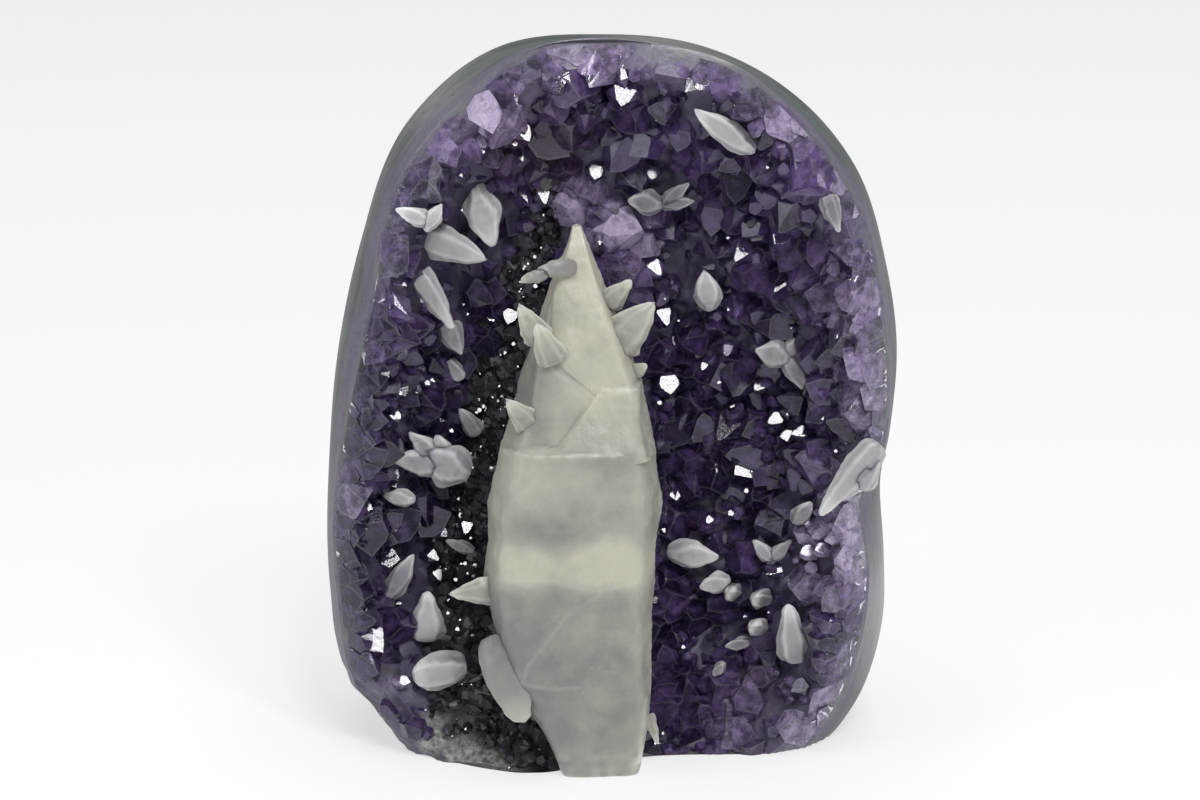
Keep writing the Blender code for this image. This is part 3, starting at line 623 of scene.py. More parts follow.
@dataclass(frozen=True)
class HostRock(Finish):
    """Altered basalt with a grey-green agate skin: sawn and polished at the front edge, and natural behind.

    The polish gives a soft sheen and shows dark specks. The natural skin is dull, pitted and a little rusty.
    """

    name: str = "basalt_and_agate_rock"
    agate: str = "#646a67"
    agate_dark: str = "#393f42"
    agate_light: str = "#a9aca9"
    basalt: str = "#45483f"
    basalt_light: str = "#8b8c81"
    rust: str = "#6e5b48"
    speck: str = "#3d3f3b"
    violet: str = "#3f364c"
    lavender: str = "#8c8498"
    band_mm: float = 9.0
    layer_mm: float = 1.5  # thickness of the agate's layers, which run along the edge
    speck_mm: float = 1.4
    pit_mm: float = 1.1

    def make(self) -> bpy.types.Material:
        """Builds the material."""
        made, tree, place = self.blank()
        rough_field, quartz, pale = (self.field(tree, name) for name in ("rough", "quartz", "pale"))
        bands = add_node(
            tree, "TexNoise", {"Vector": place, "Scale": 1 / self.band_mm, "Detail": 4.0, "Roughness": 0.6}
        )
        specks = add_node(
            tree, "TexNoise", {"Vector": place, "Scale": 1 / self.speck_mm, "Detail": 3.0, "Roughness": 0.7}
        )
        pits = add_node(tree, "TexVoronoi", {"Vector": place, "Scale": 1 / self.pit_mm})
        drawn_out = add_node(tree, "VectorMath", {0: place, 1: (0.1, 1.0, 0.1)}, operation="MULTIPLY")
        layers = add_node(
            tree, "TexNoise", {"Vector": drawn_out, "Scale": 1 / self.layer_mm, "Detail": 3.0, "Distortion": 0.5}
        )
        layer = add_node(tree, "MapRange", {0: layers, 1: 0.32, 2: 0.68, 3: -0.4, 4: 0.4})
        toned = add_node(tree, "Math", {0: bands, 1: layer}, operation="ADD", use_clamp=True)
        grown = add_node(tree, "Mix", {0: toned, 6: linear(self.agate_dark), 7: linear(self.agate)}, data_type="RGBA")
        lit = add_node(tree, "Math", {0: layer, 1: 0.3, 2: pale}, operation="MULTIPLY_ADD", use_clamp=True)
        lighter = add_node(tree, "Math", {0: lit, 1: pale}, operation="MULTIPLY")
        smooth = add_node(tree, "Mix", {0: lighter, 6: grown, 7: linear(self.agate_light)}, data_type="RGBA")
        dots = add_node(tree, "MapRange", {0: specks, 1: 0.62, 2: 0.7, 3: 0.0, 4: 0.75})
        violet = add_node(
            tree, "Mix", {0: specks, 6: linear(self.violet), 7: linear(self.lavender)}, data_type="RGBA"
        )
        through = add_node(tree, "Mix", {0: quartz, 6: smooth, 7: violet}, data_type="RGBA")
        polished = add_node(tree, "Mix", {0: dots, 6: through, 7: linear(self.speck)}, data_type="RGBA")
        grey = add_node(
            tree, "Mix", {0: specks, 6: linear(self.basalt), 7: linear(self.basalt_light)}, data_type="RGBA"
        )
        stain = add_node(tree, "MapRange", {0: bands, 1: 0.5, 2: 0.7, 3: 0.0, 4: 0.6})
        rusty = add_node(tree, "Mix", {0: stain, 6: grey, 7: linear(self.rust)}, data_type="RGBA")
        colour = add_node(tree, "Mix", {0: rough_field, 6: polished, 7: rusty}, data_type="RGBA")
        gloss = add_node(tree, "MapRange", {0: rough_field, 1: 0.0, 2: 1.0, 3: 0.46, 4: 0.82})
        height = add_node(tree, "Math", {0: pits, 1: specks}, operation="ADD")
        relief = add_node(tree, "Math", {0: height, 1: rough_field}, operation="MULTIPLY")
        bump = add_node(tree, "Bump", {"Strength": 0.9, "Distance": 0.5 * MM, "Height": relief})
        shader = add_node(
            tree, "BsdfPrincipled",
            {"Base Color": colour, "Roughness": gloss, "IOR": 1.54, "Specular IOR Level": 0.28, "Normal": bump}
        )
        add_node(tree, "OutputMaterial", {"Surface": shader})
        return made


@dataclass(frozen=True)
class MilkyCalcite(Finish):
    """Calcite clouded by tiny inclusions, as grown, with faces worn to satin.

    Light sinks in and spreads, so edges glow and shadows are soft, and the clouds inside show as cream and grey. A
    field whitens it towards the tips and also carries painted highlights: on edges and outlines, and on the large
    crystal's right edge and ledge.
    """

    name: str = "milky_calcite_worn_satin"
    cream: str = "#c5c2b2"
    grey: str = "#848782"
    # white is also the colour of the painted highlights.
    white: str = "#dbd9cf"
    shadowed: str = "#6b6973"  # the clearer ones, through which the dark crust shows
    streak_mm: float = 1.1  # width of the growth lines down its faces
    mottle_mm: float = 3.4
    fleck_mm: float = 1.9
    roughness: float = 0.36
    ior: float = 1.6

    def make(self) -> bpy.types.Material:
        """Builds the material."""
        made, tree, place = self.blank()
        warm, tip, dull = (self.field(tree, name) for name in ("warm", "tip", "dull"))
        clouds = add_node(tree, "TexNoise", {"Vector": place, "Scale": 0.11, "Detail": 3.0})
        drift = add_node(tree, "MapRange", {0: clouds, 1: 0.35, 2: 0.65, 3: -0.16, 4: 0.16})
        mottle = add_node(
            tree, "TexNoise", {"Vector": place, "Scale": 1 / self.mottle_mm, "Detail": 5.0, "Roughness": 0.65}
        )
        speckle = add_node(tree, "MapRange", {0: mottle, 1: 0.3, 2: 0.7, 3: -0.11, 4: 0.11})
        cloudy = add_node(tree, "Math", {0: warm, 1: drift}, operation="ADD")
        tone = add_node(tree, "Math", {0: cloudy, 1: speckle}, operation="ADD", use_clamp=True)
        body = add_node(tree, "Mix", {0: tone, 6: linear(self.grey), 7: linear(self.cream)}, data_type="RGBA")
        flecks = add_node(tree, "TexVoronoi", {"Vector": place, "Scale": 1 / self.fleck_mm})
        fleck = add_node(tree, "MapRange", {0: flecks, 1: 0.03, 2: 0.12, 3: 0.5, 4: 0.0})
        few = add_node(tree, "TexNoise", {"Vector": place, "Scale": 0.16, "Detail": 1.0})
        where = add_node(tree, "MapRange", {0: few, 1: 0.52, 2: 0.62, 3: 0.0, 4: 1.0})
        dots = add_node(tree, "Math", {0: fleck, 1: where}, operation="MULTIPLY")
        # Whiter where the tip field is high: towards the tips, and at the painted highlights on edges, outlines, the
        # large crystal's right edge and its ledge.
        whiter = add_node(tree, "Math", {0: dots, 1: tip}, operation="MAXIMUM")
        light = add_node(tree, "Mix", {0: whiter, 6: body, 7: linear(self.white)}, data_type="RGBA")
        colour = add_node(tree, "Mix", {0: dull, 6: light, 7: linear(self.shadowed)}, data_type="RGBA")
        stretched = add_node(tree, "VectorMath", {0: place, 1: (1.0, 1.0, 0.06)}, operation="MULTIPLY")
        streaks = add_node(tree, "TexNoise", {"Vector": stretched, "Scale": 1 / self.streak_mm, "Detail": 3.0})
        pitted = add_node(tree, "TexNoise", {"Vector": place, "Scale": 1.4, "Detail": 4.0})
        height = add_node(tree, "Math", {0: streaks, 1: pitted}, operation="ADD")
        bump = add_node(tree, "Bump", {"Strength": 0.4, "Distance": 0.2 * MM, "Height": height})
        rough = add_node(
            tree, "MapRange", {0: pitted, 1: 0.3, 2: 0.7, 3: self.roughness - 0.06, 4: self.roughness + 0.1}
        )
        shader = add_node(
            tree, "BsdfPrincipled",
            {
                "Base Color": colour, "Roughness": rough, "IOR": self.ior, "Normal": bump, "Subsurface Weight": 1.0,
                "Subsurface Radius": (1.0, 0.95, 0.8), "Subsurface Scale": 2.6 * MM
            },
            subsurface_method="RANDOM_WALK"
        )
        add_node(tree, "OutputMaterial", {"Surface": shader})
        return made


@dataclass(frozen=True)
class FrostedCalcite(MilkyCalcite):
    """The small calcites, etched to a frosty white-grey with creamier tips. Thin, so they glow more for their size."""

    name: str = "frosted_small_calcite"
    cream: str = "#cac6c6"
    grey: str = "#a1a2a8"
    white: str = "#eeedea"
    roughness: float = 0.46
    fleck_mm: float = 1.2


@dataclass(frozen=True)
class StudioPaper(Finish):
    """Seamless white paper lit from above until it is almost white."""

    name: str = "white_seamless_paper"
    colour: str = "#abadae"
    light: str = "#f8f8f7"
    glow: float = 0.625  # near the specimen, and far from it
    far_glow: float = 0.77

    def make(self) -> bpy.types.Material:
        """Builds the material."""
        made, tree, place = self.blank()
        fibre = add_node(tree, "TexNoise", {"Vector": place, "Scale": 0.8, "Detail": 2.0})
        bump = add_node(tree, "Bump", {"Strength": 0.03, "Distance": 0.1 * MM, "Height": fibre})
        away = add_node(tree, "VectorMath", {0: place}, operation="LENGTH")
        glow = add_node(
            tree, "MapRange", {0: away.outputs["Value"], 1: 200.0, 2: 2200.0, 3: self.glow, 4: self.far_glow}
        )
        shader = add_node(
            tree, "BsdfPrincipled",
            {
                "Base Color": linear(self.colour), "Roughness": 0.85, "Normal": bump,
                "Emission Color": linear(self.light), "Emission Strength": glow
            }
        )
        add_node(tree, "OutputMaterial", {"Surface": shader})
        return made


def write_mesh(
    name: str, points: Array, faces: list, finish: bpy.types.Material, fields: dict[str, Array]
) -> bpy.types.Object:
    """Puts points and faces into a new object at the origin.

    Args:
        name: The piece's name.
        points: Its points, in millimetres.
        faces: Its faces, as lists of point numbers.
        finish: Its material.
        fields: Values kept on its points, by name.

    Returns:
        The object, linked to the scene.
    """
    mesh = bpy.data.meshes.new(name)
    mesh.from_pydata((points.reshape(-1, 3) * MM).tolist(), [], faces)
    for key, values in fields.items():
        layer = mesh.attributes.new(key, "FLOAT", "POINT")
        layer.data.foreach_set("value", np.ascontiguousarray(values, np.float32).ravel())
    mesh.materials.append(finish)
    mesh.update()
    made = bpy.data.objects.new(name, mesh)
    bpy.context.scene.collection.objects.link(made)
    return made


def ring_solid(rings: Array, first: Array, last: Array) -> tuple[Array, list]:
    """A closed skin through rings, with a pole at each end.

    Quads join ring to ring and triangles join the end rings to their poles. The faces are turned outwards by the
    sign of the volume, which is a sixth of the sum, over all triangles, of the triple product of their corners.

    Args:
        rings: Points, by ring, then around, then x, y, z.
        first: The pole before the first ring.
        last: The pole after the last ring.

    Returns:
        Its points and its faces.
    """
    count, around = rings.shape[:2]
    points = np.concatenate([rings.reshape(-1, 3), np.array([first, last], float)])
    i = np.arange(around)
    j = (i + 1) % around
    start = np.arange(count - 1)[:, None] * around
    quads = np.stack([start + i, start + j, start + around + j, start + around + i], axis=-1).reshape(-1, 4)
    low, high = count * around, (count - 1) * around
    ends = np.concatenate(
        [np.stack([j, i, np.full(around, low)], -1), np.stack([high + i, high + j, np.full(around, low + 1)], -1)]
    )
    triangles = np.concatenate([quads[:, [0, 1, 2]], quads[:, [0, 2, 3]], ends])
    a, b, c = (points[triangles[:, k]] for k in range(3))
    if np.einsum("ij,ij->i", a, np.cross(b, c)).sum() < 0:
        quads, ends = quads[:, ::-1], ends[:, ::-1]
    return points, quads.tolist() + ends.tolist()


def carry(piece: bpy.types.Object, slot: Slot, *nodes: str) -> bpy.types.Object:
    """Lets a piece ride on the specimen and stand for the part's nodes."""
    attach(piece, "root")
    if nodes:
        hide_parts(*nodes)
    LOG.info("%s: %d faces, for %s", piece.name, len(piece.data.polygons), ", ".join(nodes) or "detail")
    return piece


@dataclass
class RockBody:
    """The grey host rock: a rounded stone, polished round its front edge and natural behind."""

    around: int = 420
    steps: int = 16  # rings for each station
    lump_mm: float = 17.0
    lump_height: float = 1.5
    rough_from: float = 0.0
    rough_to: float = 16.0
    # Lighter stretches of its edge.
    pale: tuple[Blotch, ...] = (
        Blotch(57, 30, 24, 1.0), Blotch(-36, 136, 16, 0.6), Blotch(12, 148, 20, 0.5), Blotch(-58, 60, 40, 0.15)
    )

    def skin(self) -> Array:
        """Rings of the skin from the rim to the back.

        Each station gives a depth, how far out of the rim line the ring lies, and its size about the middle of the
        back. All three are smooth curves of the ring's number. Lumps and pits push the natural part outwards.

        Returns:
            Points, by ring, then around.
        """
        stations = np.array(ROCK_STATIONS, float)
        number = np.linspace(0, len(stations) - 1.06, self.steps * (len(stations) - 1))
        whole = np.arange(len(stations), dtype=float)
        depth, outward, size = (smooth_through(number, whole, stations[:, k])[:, None] for k in range(3))
        angle = np.arange(self.around) * 2 * math.pi / self.around
        rim, outer = FORM.radius(FORM.rim_line, angle), FORM.radius(FORM.outer_line, angle)
        reach = rim + (outer - rim) * outward
        x = reach * np.cos(angle) * size
        z = BACK_Z + (CENTRE_Z + reach * np.sin(angle) - BACK_Z) * size
        ring = np.stack([x, np.broadcast_to(depth, x.shape), z], axis=-1)
        away = unit(np.stack([x, 0.6 * (ring[..., 1] + 10), z - BACK_Z], axis=-1))
        natural = soft_step(ring[..., 1], self.rough_from, self.rough_to)
        lumps = self.lump_height * lattice_noise(ring, self.lump_mm, 21) + 0.5 * lattice_noise(ring, 6.0, 22)
        holes = (
            -0.9 * soft_step(lattice_noise(ring, 3.1, 25), 0.42, 0.7)
            - 0.5 * soft_step(lattice_noise(ring, 1.7, 26), 0.45, 0.7)
        )
        pits = 0.35 * lattice_noise(ring, 2.2, 23) + holes
        return ring + away * ((lumps + pits) * natural)[..., None]

    def build(self, finish: bpy.types.Material) -> bpy.types.Object:
        """Builds the rock, from the middle of the bowl over the rim to the back. The saw brings z below 0 up to 0."""
        shares = np.linspace(0.08, 1.0, 24)[:, None]
        angle = np.arange(self.around) * 2 * math.pi / self.around
        reach = shares * FORM.radius(FORM.rim_line, angle)
        x, z = reach * np.cos(angle), CENTRE_Z + reach * np.sin(angle)
        bowl = np.stack([x, FORM.depth(Sheet.HOLLOW, x, z), z], axis=-1)
        rings = np.concatenate([bowl[:-1], self.skin()])
        rings[..., 2] = np.maximum(rings[..., 2], 0.0)
        points, faces = ring_solid(rings, np.array([0, 11.5, CENTRE_Z]), np.array([0, 40.5, BACK_Z]))
        rough = soft_step(points[:, 1], self.rough_from, self.rough_to)
        mottled = 1.6 * lattice_noise(points, 6.0, 61) + 1.0 * lattice_noise(points, 2.2, 62)
        quartz = 0.9 * (1 - soft_step(points[:, 1] + mottled, RIM_Y + 0.5, RIM_Y + 8.0))
        pale = COLOURS.patches(self.pale, points[:, 0], points[:, 2])
        made = write_mesh(
            "rock_body", points, faces, finish, {"rough": rough, "quartz": quartz * (1 - 0.5 * pale), "pale": pale}
        )
        made.data.shade_smooth()
        made.data.set_sharp_from_angle(angle=math.radians(40))
        return carry(made, Slot.ROCK, "geode_rock")


@dataclass
class CrystalBed:
    """The crust that the crystals grow from: a lining of the bowl that is ground flush and polished at the rim."""

    around: int = 360
    radial: int = 150

    def build(self, finish: bpy.types.Material) -> bpy.types.Object:
        """Builds it as one closed skin: up the back of the crust to the rim, and down its front to the middle."""
        angle = np.arange(self.around) * 2 * math.pi / self.around
        rim = FORM.radius(FORM.rim_line, angle)
        behind = np.linspace(0.08, 0.985, 16)[:, None] * (rim - 0.3)
        x, z = behind * np.cos(angle), CENTRE_Z + behind * np.sin(angle)
        back = np.stack([x, FORM.depth(Sheet.HOLLOW, x, z) - 0.3, z], axis=-1)
        front = np.linspace(1.0, 0.01, self.radial)[:, None] * (rim + 0.08)
        x, z = front * np.cos(angle), CENTRE_Z + front * np.sin(angle)
        flat = np.stack([x, np.zeros_like(x), z], axis=-1)
        hollow = np.maximum(1 - soft_step(FORM.share(x, z), 0.86, 0.93), FORM.broken_at(x, z))
        bare = COLOURS.bareness(x, z)
        crumbs = (0.9 * lattice_noise(flat, 3.2, 31) + 0.5 * lattice_noise(flat, 1.4, 32)) * np.maximum(hollow, bare)
        face = np.stack([x, FORM.bed(x, z) + crumbs, z], axis=-1)
        rings = np.concatenate([back, face])
        rings[..., 2] = np.maximum(rings[..., 2], 0.02)
        middle = float(FORM.bed(np.array([0.01]), np.array([CENTRE_Z]))[0])
        points, faces = ring_solid(rings, np.array([0, 11.2, CENTRE_Z]), np.array([0, middle, CENTRE_Z]))
        x, z = points[:, 0], points[:, 2]
        fields = {
            "pale": COLOURS.paleness(x, z), "dark": COLOURS.darkness(x, z), "bare": COLOURS.bareness(x, z),
            "ground": soft_step(FORM.share(x, z), 0.87, 0.95) * (1 - 0.8 * FORM.broken_at(x, z)),
            "agate": COLOURS.agate_share(x, z),
        }
        made = write_mesh("crystal_bed", points, faces, finish, fields)
        made.data.shade_smooth()
        made.data.set_sharp_from_angle(angle=math.radians(50))
        return carry(made, Slot.AMETHYST, "amethyst_crust")


@dataclass(frozen=True)
class QuartzTip:
    """A quartz crystal's shape: a six-sided shaft under three large and three small faces that meet in a point.

    All faces of the tip rise by slope for each unit inwards. The small ones start further out by the share split, so
    the large ones meet above them and each small face is a triangle standing on the shaft's side.
    """

    slope: float = 1.27
    middles: bool = True  # each face has a point in its middle, so that its colour can differ between middle and border: a lighter middle, and a painted highlight along the border

    @property
    def count(self) -> int:
        """How many points a tip has: 22 corners, and a middle for each of its 12 faces."""
        return 34 if self.middles else 22

    def outlines(self) -> list[list[int]]:
        """Corners of one tip's twelve faces, turned outwards: three large, three small, three four-sided and three
        six-sided."""
        upper, left, right = (lambda k: 1 + k % 3), (lambda k: 4 + k % 3), (lambda k: 7 + k % 3)
        top, low = (lambda j: 10 + j % 6), (lambda j: 16 + j % 6)
        made = []
        for k in range(3):
            made.append([0, upper(k - 1), right(k - 1), top(2 * k - 1), top(2 * k), left(k), upper(k)])
            made.append([upper(k), left(k), right(k)])
            made.append([low(2 * k - 1), low(2 * k), top(2 * k), top(2 * k - 1)])
            made.append([low(2 * k), low(2 * k + 1), top(2 * k + 1), right(k), left(k), top(2 * k)])
        return made

    def points(self, half: Array, split: Array, shoulder: Array, root: Array) -> Array:
        """Corners and face middles of many tips, each in its own frame with its axis up.

        The apex stands slope times half above the shoulder. Each small face has its upper corner at 2 split half from
        the axis and slope half split lower, and its two lower corners on the shaft's side, slope half split above the
        shoulder. The shaft's corners stand at half over the cosine of 30 degrees. A face's middle is the mean of its
        corners.

        Args:
            half: Half of each width across flats.
            split: How far out the small faces start, below 0.5.
            shoulder: Height where the tip begins.
            root: Height where the shaft ends.

        Returns:
            Points, by tip, then corner.
        """
        made = np.zeros((len(half), 34, 3))
        made[:, 0, 2] = shoulder + self.slope * half
        for k in range(3):
            angle = math.radians(60 + 120 * k)
            along, across = np.array([math.cos(angle), math.sin(angle)]), np.array(
                [-math.sin(angle), math.cos(angle)]
            )
            made[:, 1 + k, :2] = (2 * half * split)[:, None] * along
            made[:, 1 + k, 2] = shoulder + self.slope * half * (1 - split)
            aside = (half * (1 - 2 * split) / math.sqrt(3))[:, None] * across
            made[:, 4 + k, :2] = half[:, None] * along - aside
            made[:, 7 + k, :2] = half[:, None] * along + aside
            made[:, 4 + k, 2] = made[:, 7 + k, 2] = shoulder + self.slope * half * split
        angle = np.radians(30 + 60 * np.arange(6))
        corner = np.stack([np.cos(angle), np.sin(angle)], axis=-1) / math.cos(math.radians(30))
        made[:, 10:16, :2] = made[:, 16:22, :2] = half[:, None, None] * corner
        made[:, 10:16, 2], made[:, 16:22, 2] = shoulder[:, None], root[:, None]
        for k, outline in enumerate(self.outlines()):
            made[:, 22 + k] = made[:, outline].mean(axis=1)
        return made[:, :self.count]

    def faces(self, number: int) -> list:
        """Faces and roots of that many tips. With middles, a face is triangles from its middle to its edges."""
        kinds = [[16 + j for j in range(5, -1, -1)]]
        for k, outline in enumerate(self.outlines()):
            around = [[22 + k, a, b] for a, b in zip(outline, outline[1:] + outline[:1])]
            kinds += around if self.middles else [outline]
        start = (np.arange(number) * self.count)[:, None]
        return [face for kind in kinds for face in (start + np.array(kind)).tolist()]


@dataclass
class CrystalField:
    """A growth of quartz tips over the bed, one joined mesh. Sites outside its zone are left out."""

    name: str
    number: int
    half_width: tuple[float, float]
    shoulder: tuple[float, float]
    lean: float
    seed: int
    dark: bool = False
    even: bool = True
    mirrors: Line = ()
    aimed: bool = False  # all of them mirror a window
    twins: int = 0  # smaller crystals grown beside each one, turned the same way
    tip: QuartzTip = QuartzTip()
    root: float = -3.0
    edge: float = 0.988  # share of the rim's radius that ground crystals reach

    def sites(self, rng: np.random.Generator) -> tuple[Array, Array]:
        """Places for the tips: a sunflower spiral with scatter if even, and otherwise chance over the same oval.

        The spiral's turn is the golden angle, and its share of the rim's radius grows as the square root.
        """
        if self.even:
            i = np.arange(self.number)
            angle, share = i * math.pi * (3 - math.sqrt(5)), np.sqrt((i + 0.5) / self.number)
        else:
            angle, share = rng.uniform(0, 2 * math.pi, self.number), np.sqrt(rng.uniform(0, 1, self.number))
        reach = 0.985 * share * FORM.radius(FORM.rim_line, angle)
        scatter = rng.uniform(-1.3, 1.3, (2, self.number))
        x, z = reach * np.cos(angle) + scatter[0], CENTRE_Z + reach * np.sin(angle) + scatter[1]
        zone = COLOURS.darkness(x, z)
        wanted = (zone > 0.35) if self.dark else (zone < 0.55)
        wanted &= (z > -3.5) & (COLOURS.bareness(x, z) < 0.3) & (FORM.share(x, z) < 0.985)
        if self.mirrors:
            mirrors = np.array(self.mirrors, float)
            apart = np.hypot(x[:, None] - mirrors[:, 0], z[:, None] - mirrors[:, 1])
            wanted &= (apart > 0.9 * mirrors[:, 2] + 0.8).all(axis=1)
        return x[wanted], z[wanted]

    @staticmethod
    def under_leaves(x: Array, z: Array) -> Array:
        """How far a site lies under a small calcite: 1 on a leaf's middle line and 0 clear of it.

        The distance to each arm is that to the nearest point of its line.
        """
        arms = np.array([arm for _, leaf in LEAVES for arm in leaf], float)
        start, along = arms[:, :2], arms[:, 2:4] - arms[:, :2]
        offset = np.stack([x, z], axis=-1)[:, None, :] - start
        share = np.clip((offset * along).sum(-1) / (along**2).sum(-1), 0.0, 1.0)
        distance = np.linalg.norm(offset - share[..., None] * along, axis=-1) - arms[:, 4] / 2
        return 1 - soft_step(distance.min(axis=1), 0.2, 2.6)

    def free_frames(self, x: Array, z: Array, rng: np.random.Generator) -> Array:
        """Frames that lean by chance from the bed's normal and turn freely, as columns side, up and axis."""
        axis = unit(FORM.normal(x, z) + rng.normal(0, self.lean, (len(x), 3)))
        turn = rng.uniform(0, 2 * math.pi, len(x))
        helper = np.where(np.abs(axis[:, 2:]) < 0.9, [[0.0, 0.0, 1.0]], [[1.0, 0.0, 0.0]])
        side = unit(np.cross(helper, axis))
        up = np.cross(axis, side)
        cos, sin = np.cos(turn)[:, None], np.sin(turn)[:, None]
        return np.stack([cos * side + sin * up, cos * up - sin * side, axis], axis=2)

    def mirror_frames(self, x: Array, z: Array) -> Array:
        """Frames that turn one large face to a window and the viewer.

        The face looks halfway between the two. The axis stands at the tip's own angle to that, whose tangent is the
        slope, in the plane of the bed's normal.
        """
        place = np.stack([x, FORM.depth(Sheet.LINING, x, z), z], axis=-1)
        window = np.array([STUDIO.panels[i % 2].place for i in range(len(x))], float)
        halfway = unit(unit(np.array(STUDIO.viewpoint()) - place) + unit(window - place))
        normal = FORM.normal(x, z)
        across = unit(normal - (normal * halfway).sum(-1, keepdims=True) * halfway)
        slant = math.atan(self.tip.slope)
        axis = math.cos(slant) * halfway + math.sin(slant) * across
        side = unit(halfway - (halfway * axis).sum(-1, keepdims=True) * axis)
        return np.stack([side, np.cross(axis, side), axis], axis=2)

    def build(self, finish: bpy.types.Material, *nodes: str) -> bpy.types.Object:
        """Builds the growth. Tips past the polished sheet are ground flat on it, and z below 0 is sawn off."""
        rng = np.random.default_rng(self.seed)
        x, z = self.sites(rng)
        half = rng.uniform(0, 1, len(x)) ** 1.3 * (self.half_width[1] - self.half_width[0]) + self.half_width[0]
        covered = np.zeros(len(x)) if self.dark else self.under_leaves(x, z)
        half *= (1 - 0.25 * covered) * (1 - COLOURS.patches(COLOURS.fine, x, z))
        shoulder = rng.uniform(*self.shoulder, len(x)) - 2.2 * covered
        frames = self.mirror_frames(x, z) if self.aimed else self.free_frames(x, z, rng)
        origin = np.stack([x, FORM.depth(Sheet.LINING, x, z), z], axis=-1)
        if self.twins:
            copy = np.repeat(np.arange(len(x)), self.twins + 1)
            first = np.arange(len(copy)) % (self.twins + 1) == 0
            angle, away = rng.uniform(0, 2 * math.pi, len(copy)), rng.uniform(0.6, 1.1, len(copy)) * half[copy]
            shift = np.stack([away * np.cos(angle), away * np.sin(angle), np.zeros(len(copy))], axis=-1)
            shift[first] = 0
            origin = origin[copy] + np.einsum("nij,nj->ni", frames[copy], shift)
            half = half[copy] * np.where(first, 1.0, rng.uniform(0.35, 0.7, len(copy)))
            shoulder = shoulder[copy] + np.where(first, 0.0, rng.uniform(-0.3, 0.9, len(copy)))
            frames = frames[copy]
        if self.mirrors:
            mx, mz, size = np.array(self.mirrors, float).T
            origin = np.concatenate([origin, np.stack([mx, FORM.depth(Sheet.LINING, mx, mz), mz], axis=-1)])
            frames = np.concatenate([frames, self.mirror_frames(mx, mz)])
            half = np.append(half, 0.5 * size + 0.3)
            shoulder = np.append(shoulder, np.full(len(mx), self.shoulder[1] + 0.6))
        count, plain = len(half), len(half) - len(self.mirrors)
        even = (np.arange(count) >= plain) | self.aimed
        local = self.tip.points(half, rng.uniform(0.06, 0.44, count), shoulder, np.full(count, self.root))
        local[..., 0] *= np.where(even, 1.0, rng.uniform(0.82, 1.18, count))[:, None]
        slant = np.where(even[:, None], 0.0, rng.normal(0, 0.1, (count, 2)))
        local[..., :2] += slant[:, None, :] * (local[..., 2:] - shoulder[:, None, None])
        points = origin[:, None, :] + np.einsum("nij,nkj->nki", frames, local)
        whole = points[:, 0, 2] > 0.4
        origin, points, count = origin[whole], points[whole], int(whole.sum())
        points = self.grind(points, rng.uniform(0.05, 0.5, count))
        made = write_mesh(self.name, points, self.tip.faces(count), finish, self.fields(origin, points, rng))
        return carry(made, Slot.AMETHYST, *nodes)

    def fields(self, origin: Array, points: Array, rng: np.random.Generator) -> dict[str, Array]:
        """Fields for the finish: a crystal's own colour, how high up it a point lies, and how far from an edge.

        Args:
            origin: Each tip's root.
            points: Points, by tip, then corner.
            rng: Chance.

        Returns:
            The fields by name.
        """
        count, (x, z) = len(origin), (origin[:, 0], origin[:, 2])
        pale = np.clip(COLOURS.paleness(x, z) + rng.normal(0, 0.1, count), 0, 1)
        deeper = 1 - COLOURS.patches(COLOURS.deep, x, z)
        shade = rng.beta(1.3, 1.7, count) * deeper * (1.0 if self.dark else 1 - 0.75 * COLOURS.darkness(x, z))
        every = {"pale": pale, "shade": shade, "brown": COLOURS.brownness(x, z)}
        made = {key: np.repeat(values, self.tip.count) for key, values in every.items()}
        rise = np.repeat([1.0, 0.8, 0.6, 0.5, 0.0, 0.55], [1, 3, 6, 6, 6, 12])
        # inner: 0 at a face's border and 1 at its middle; the finish paints a highlight along the border from it.
        inner = np.repeat([0.0 if self.tip.middles else 0.6, 1.0], [22, 12])
        made["rise"], made["inner"] = (np.tile(values[:self.tip.count], count) for values in (rise, inner))
        made["agate"] = COLOURS.agate_share(points[..., 0].ravel(), points[..., 2].ravel())
        return made

    def grind(self, points: Array, proud: Array) -> Array:
        """Grinds tips as the lapidary did: back to the polished sheet, in to the rim, and flat at the sawn base.

        Args:
            points: Points, by tip, then corner.
            proud: How far each tip stands off the bed's polished face.

        Returns:
            The points, moved.
        """
        share = FORM.share(points[..., 0], points[..., 2])
        inward = np.minimum(1.0, self.edge / np.maximum(share, 1e-6))
        points[..., 0] *= inward
        points[..., 2] = CENTRE_Z + (points[..., 2] - CENTRE_Z) * inward
        rough = 2.4 * FORM.broken_at(points[..., 0], points[..., 2])
        limit = FORM.depth(Sheet.POLISHED, points[..., 0], points[..., 2]) - proud[:, None] - rough
        points[..., 1] = np.maximum(points[..., 1], limit)
        points[..., 2] = np.maximum(points[..., 2], 0.05)
        return points


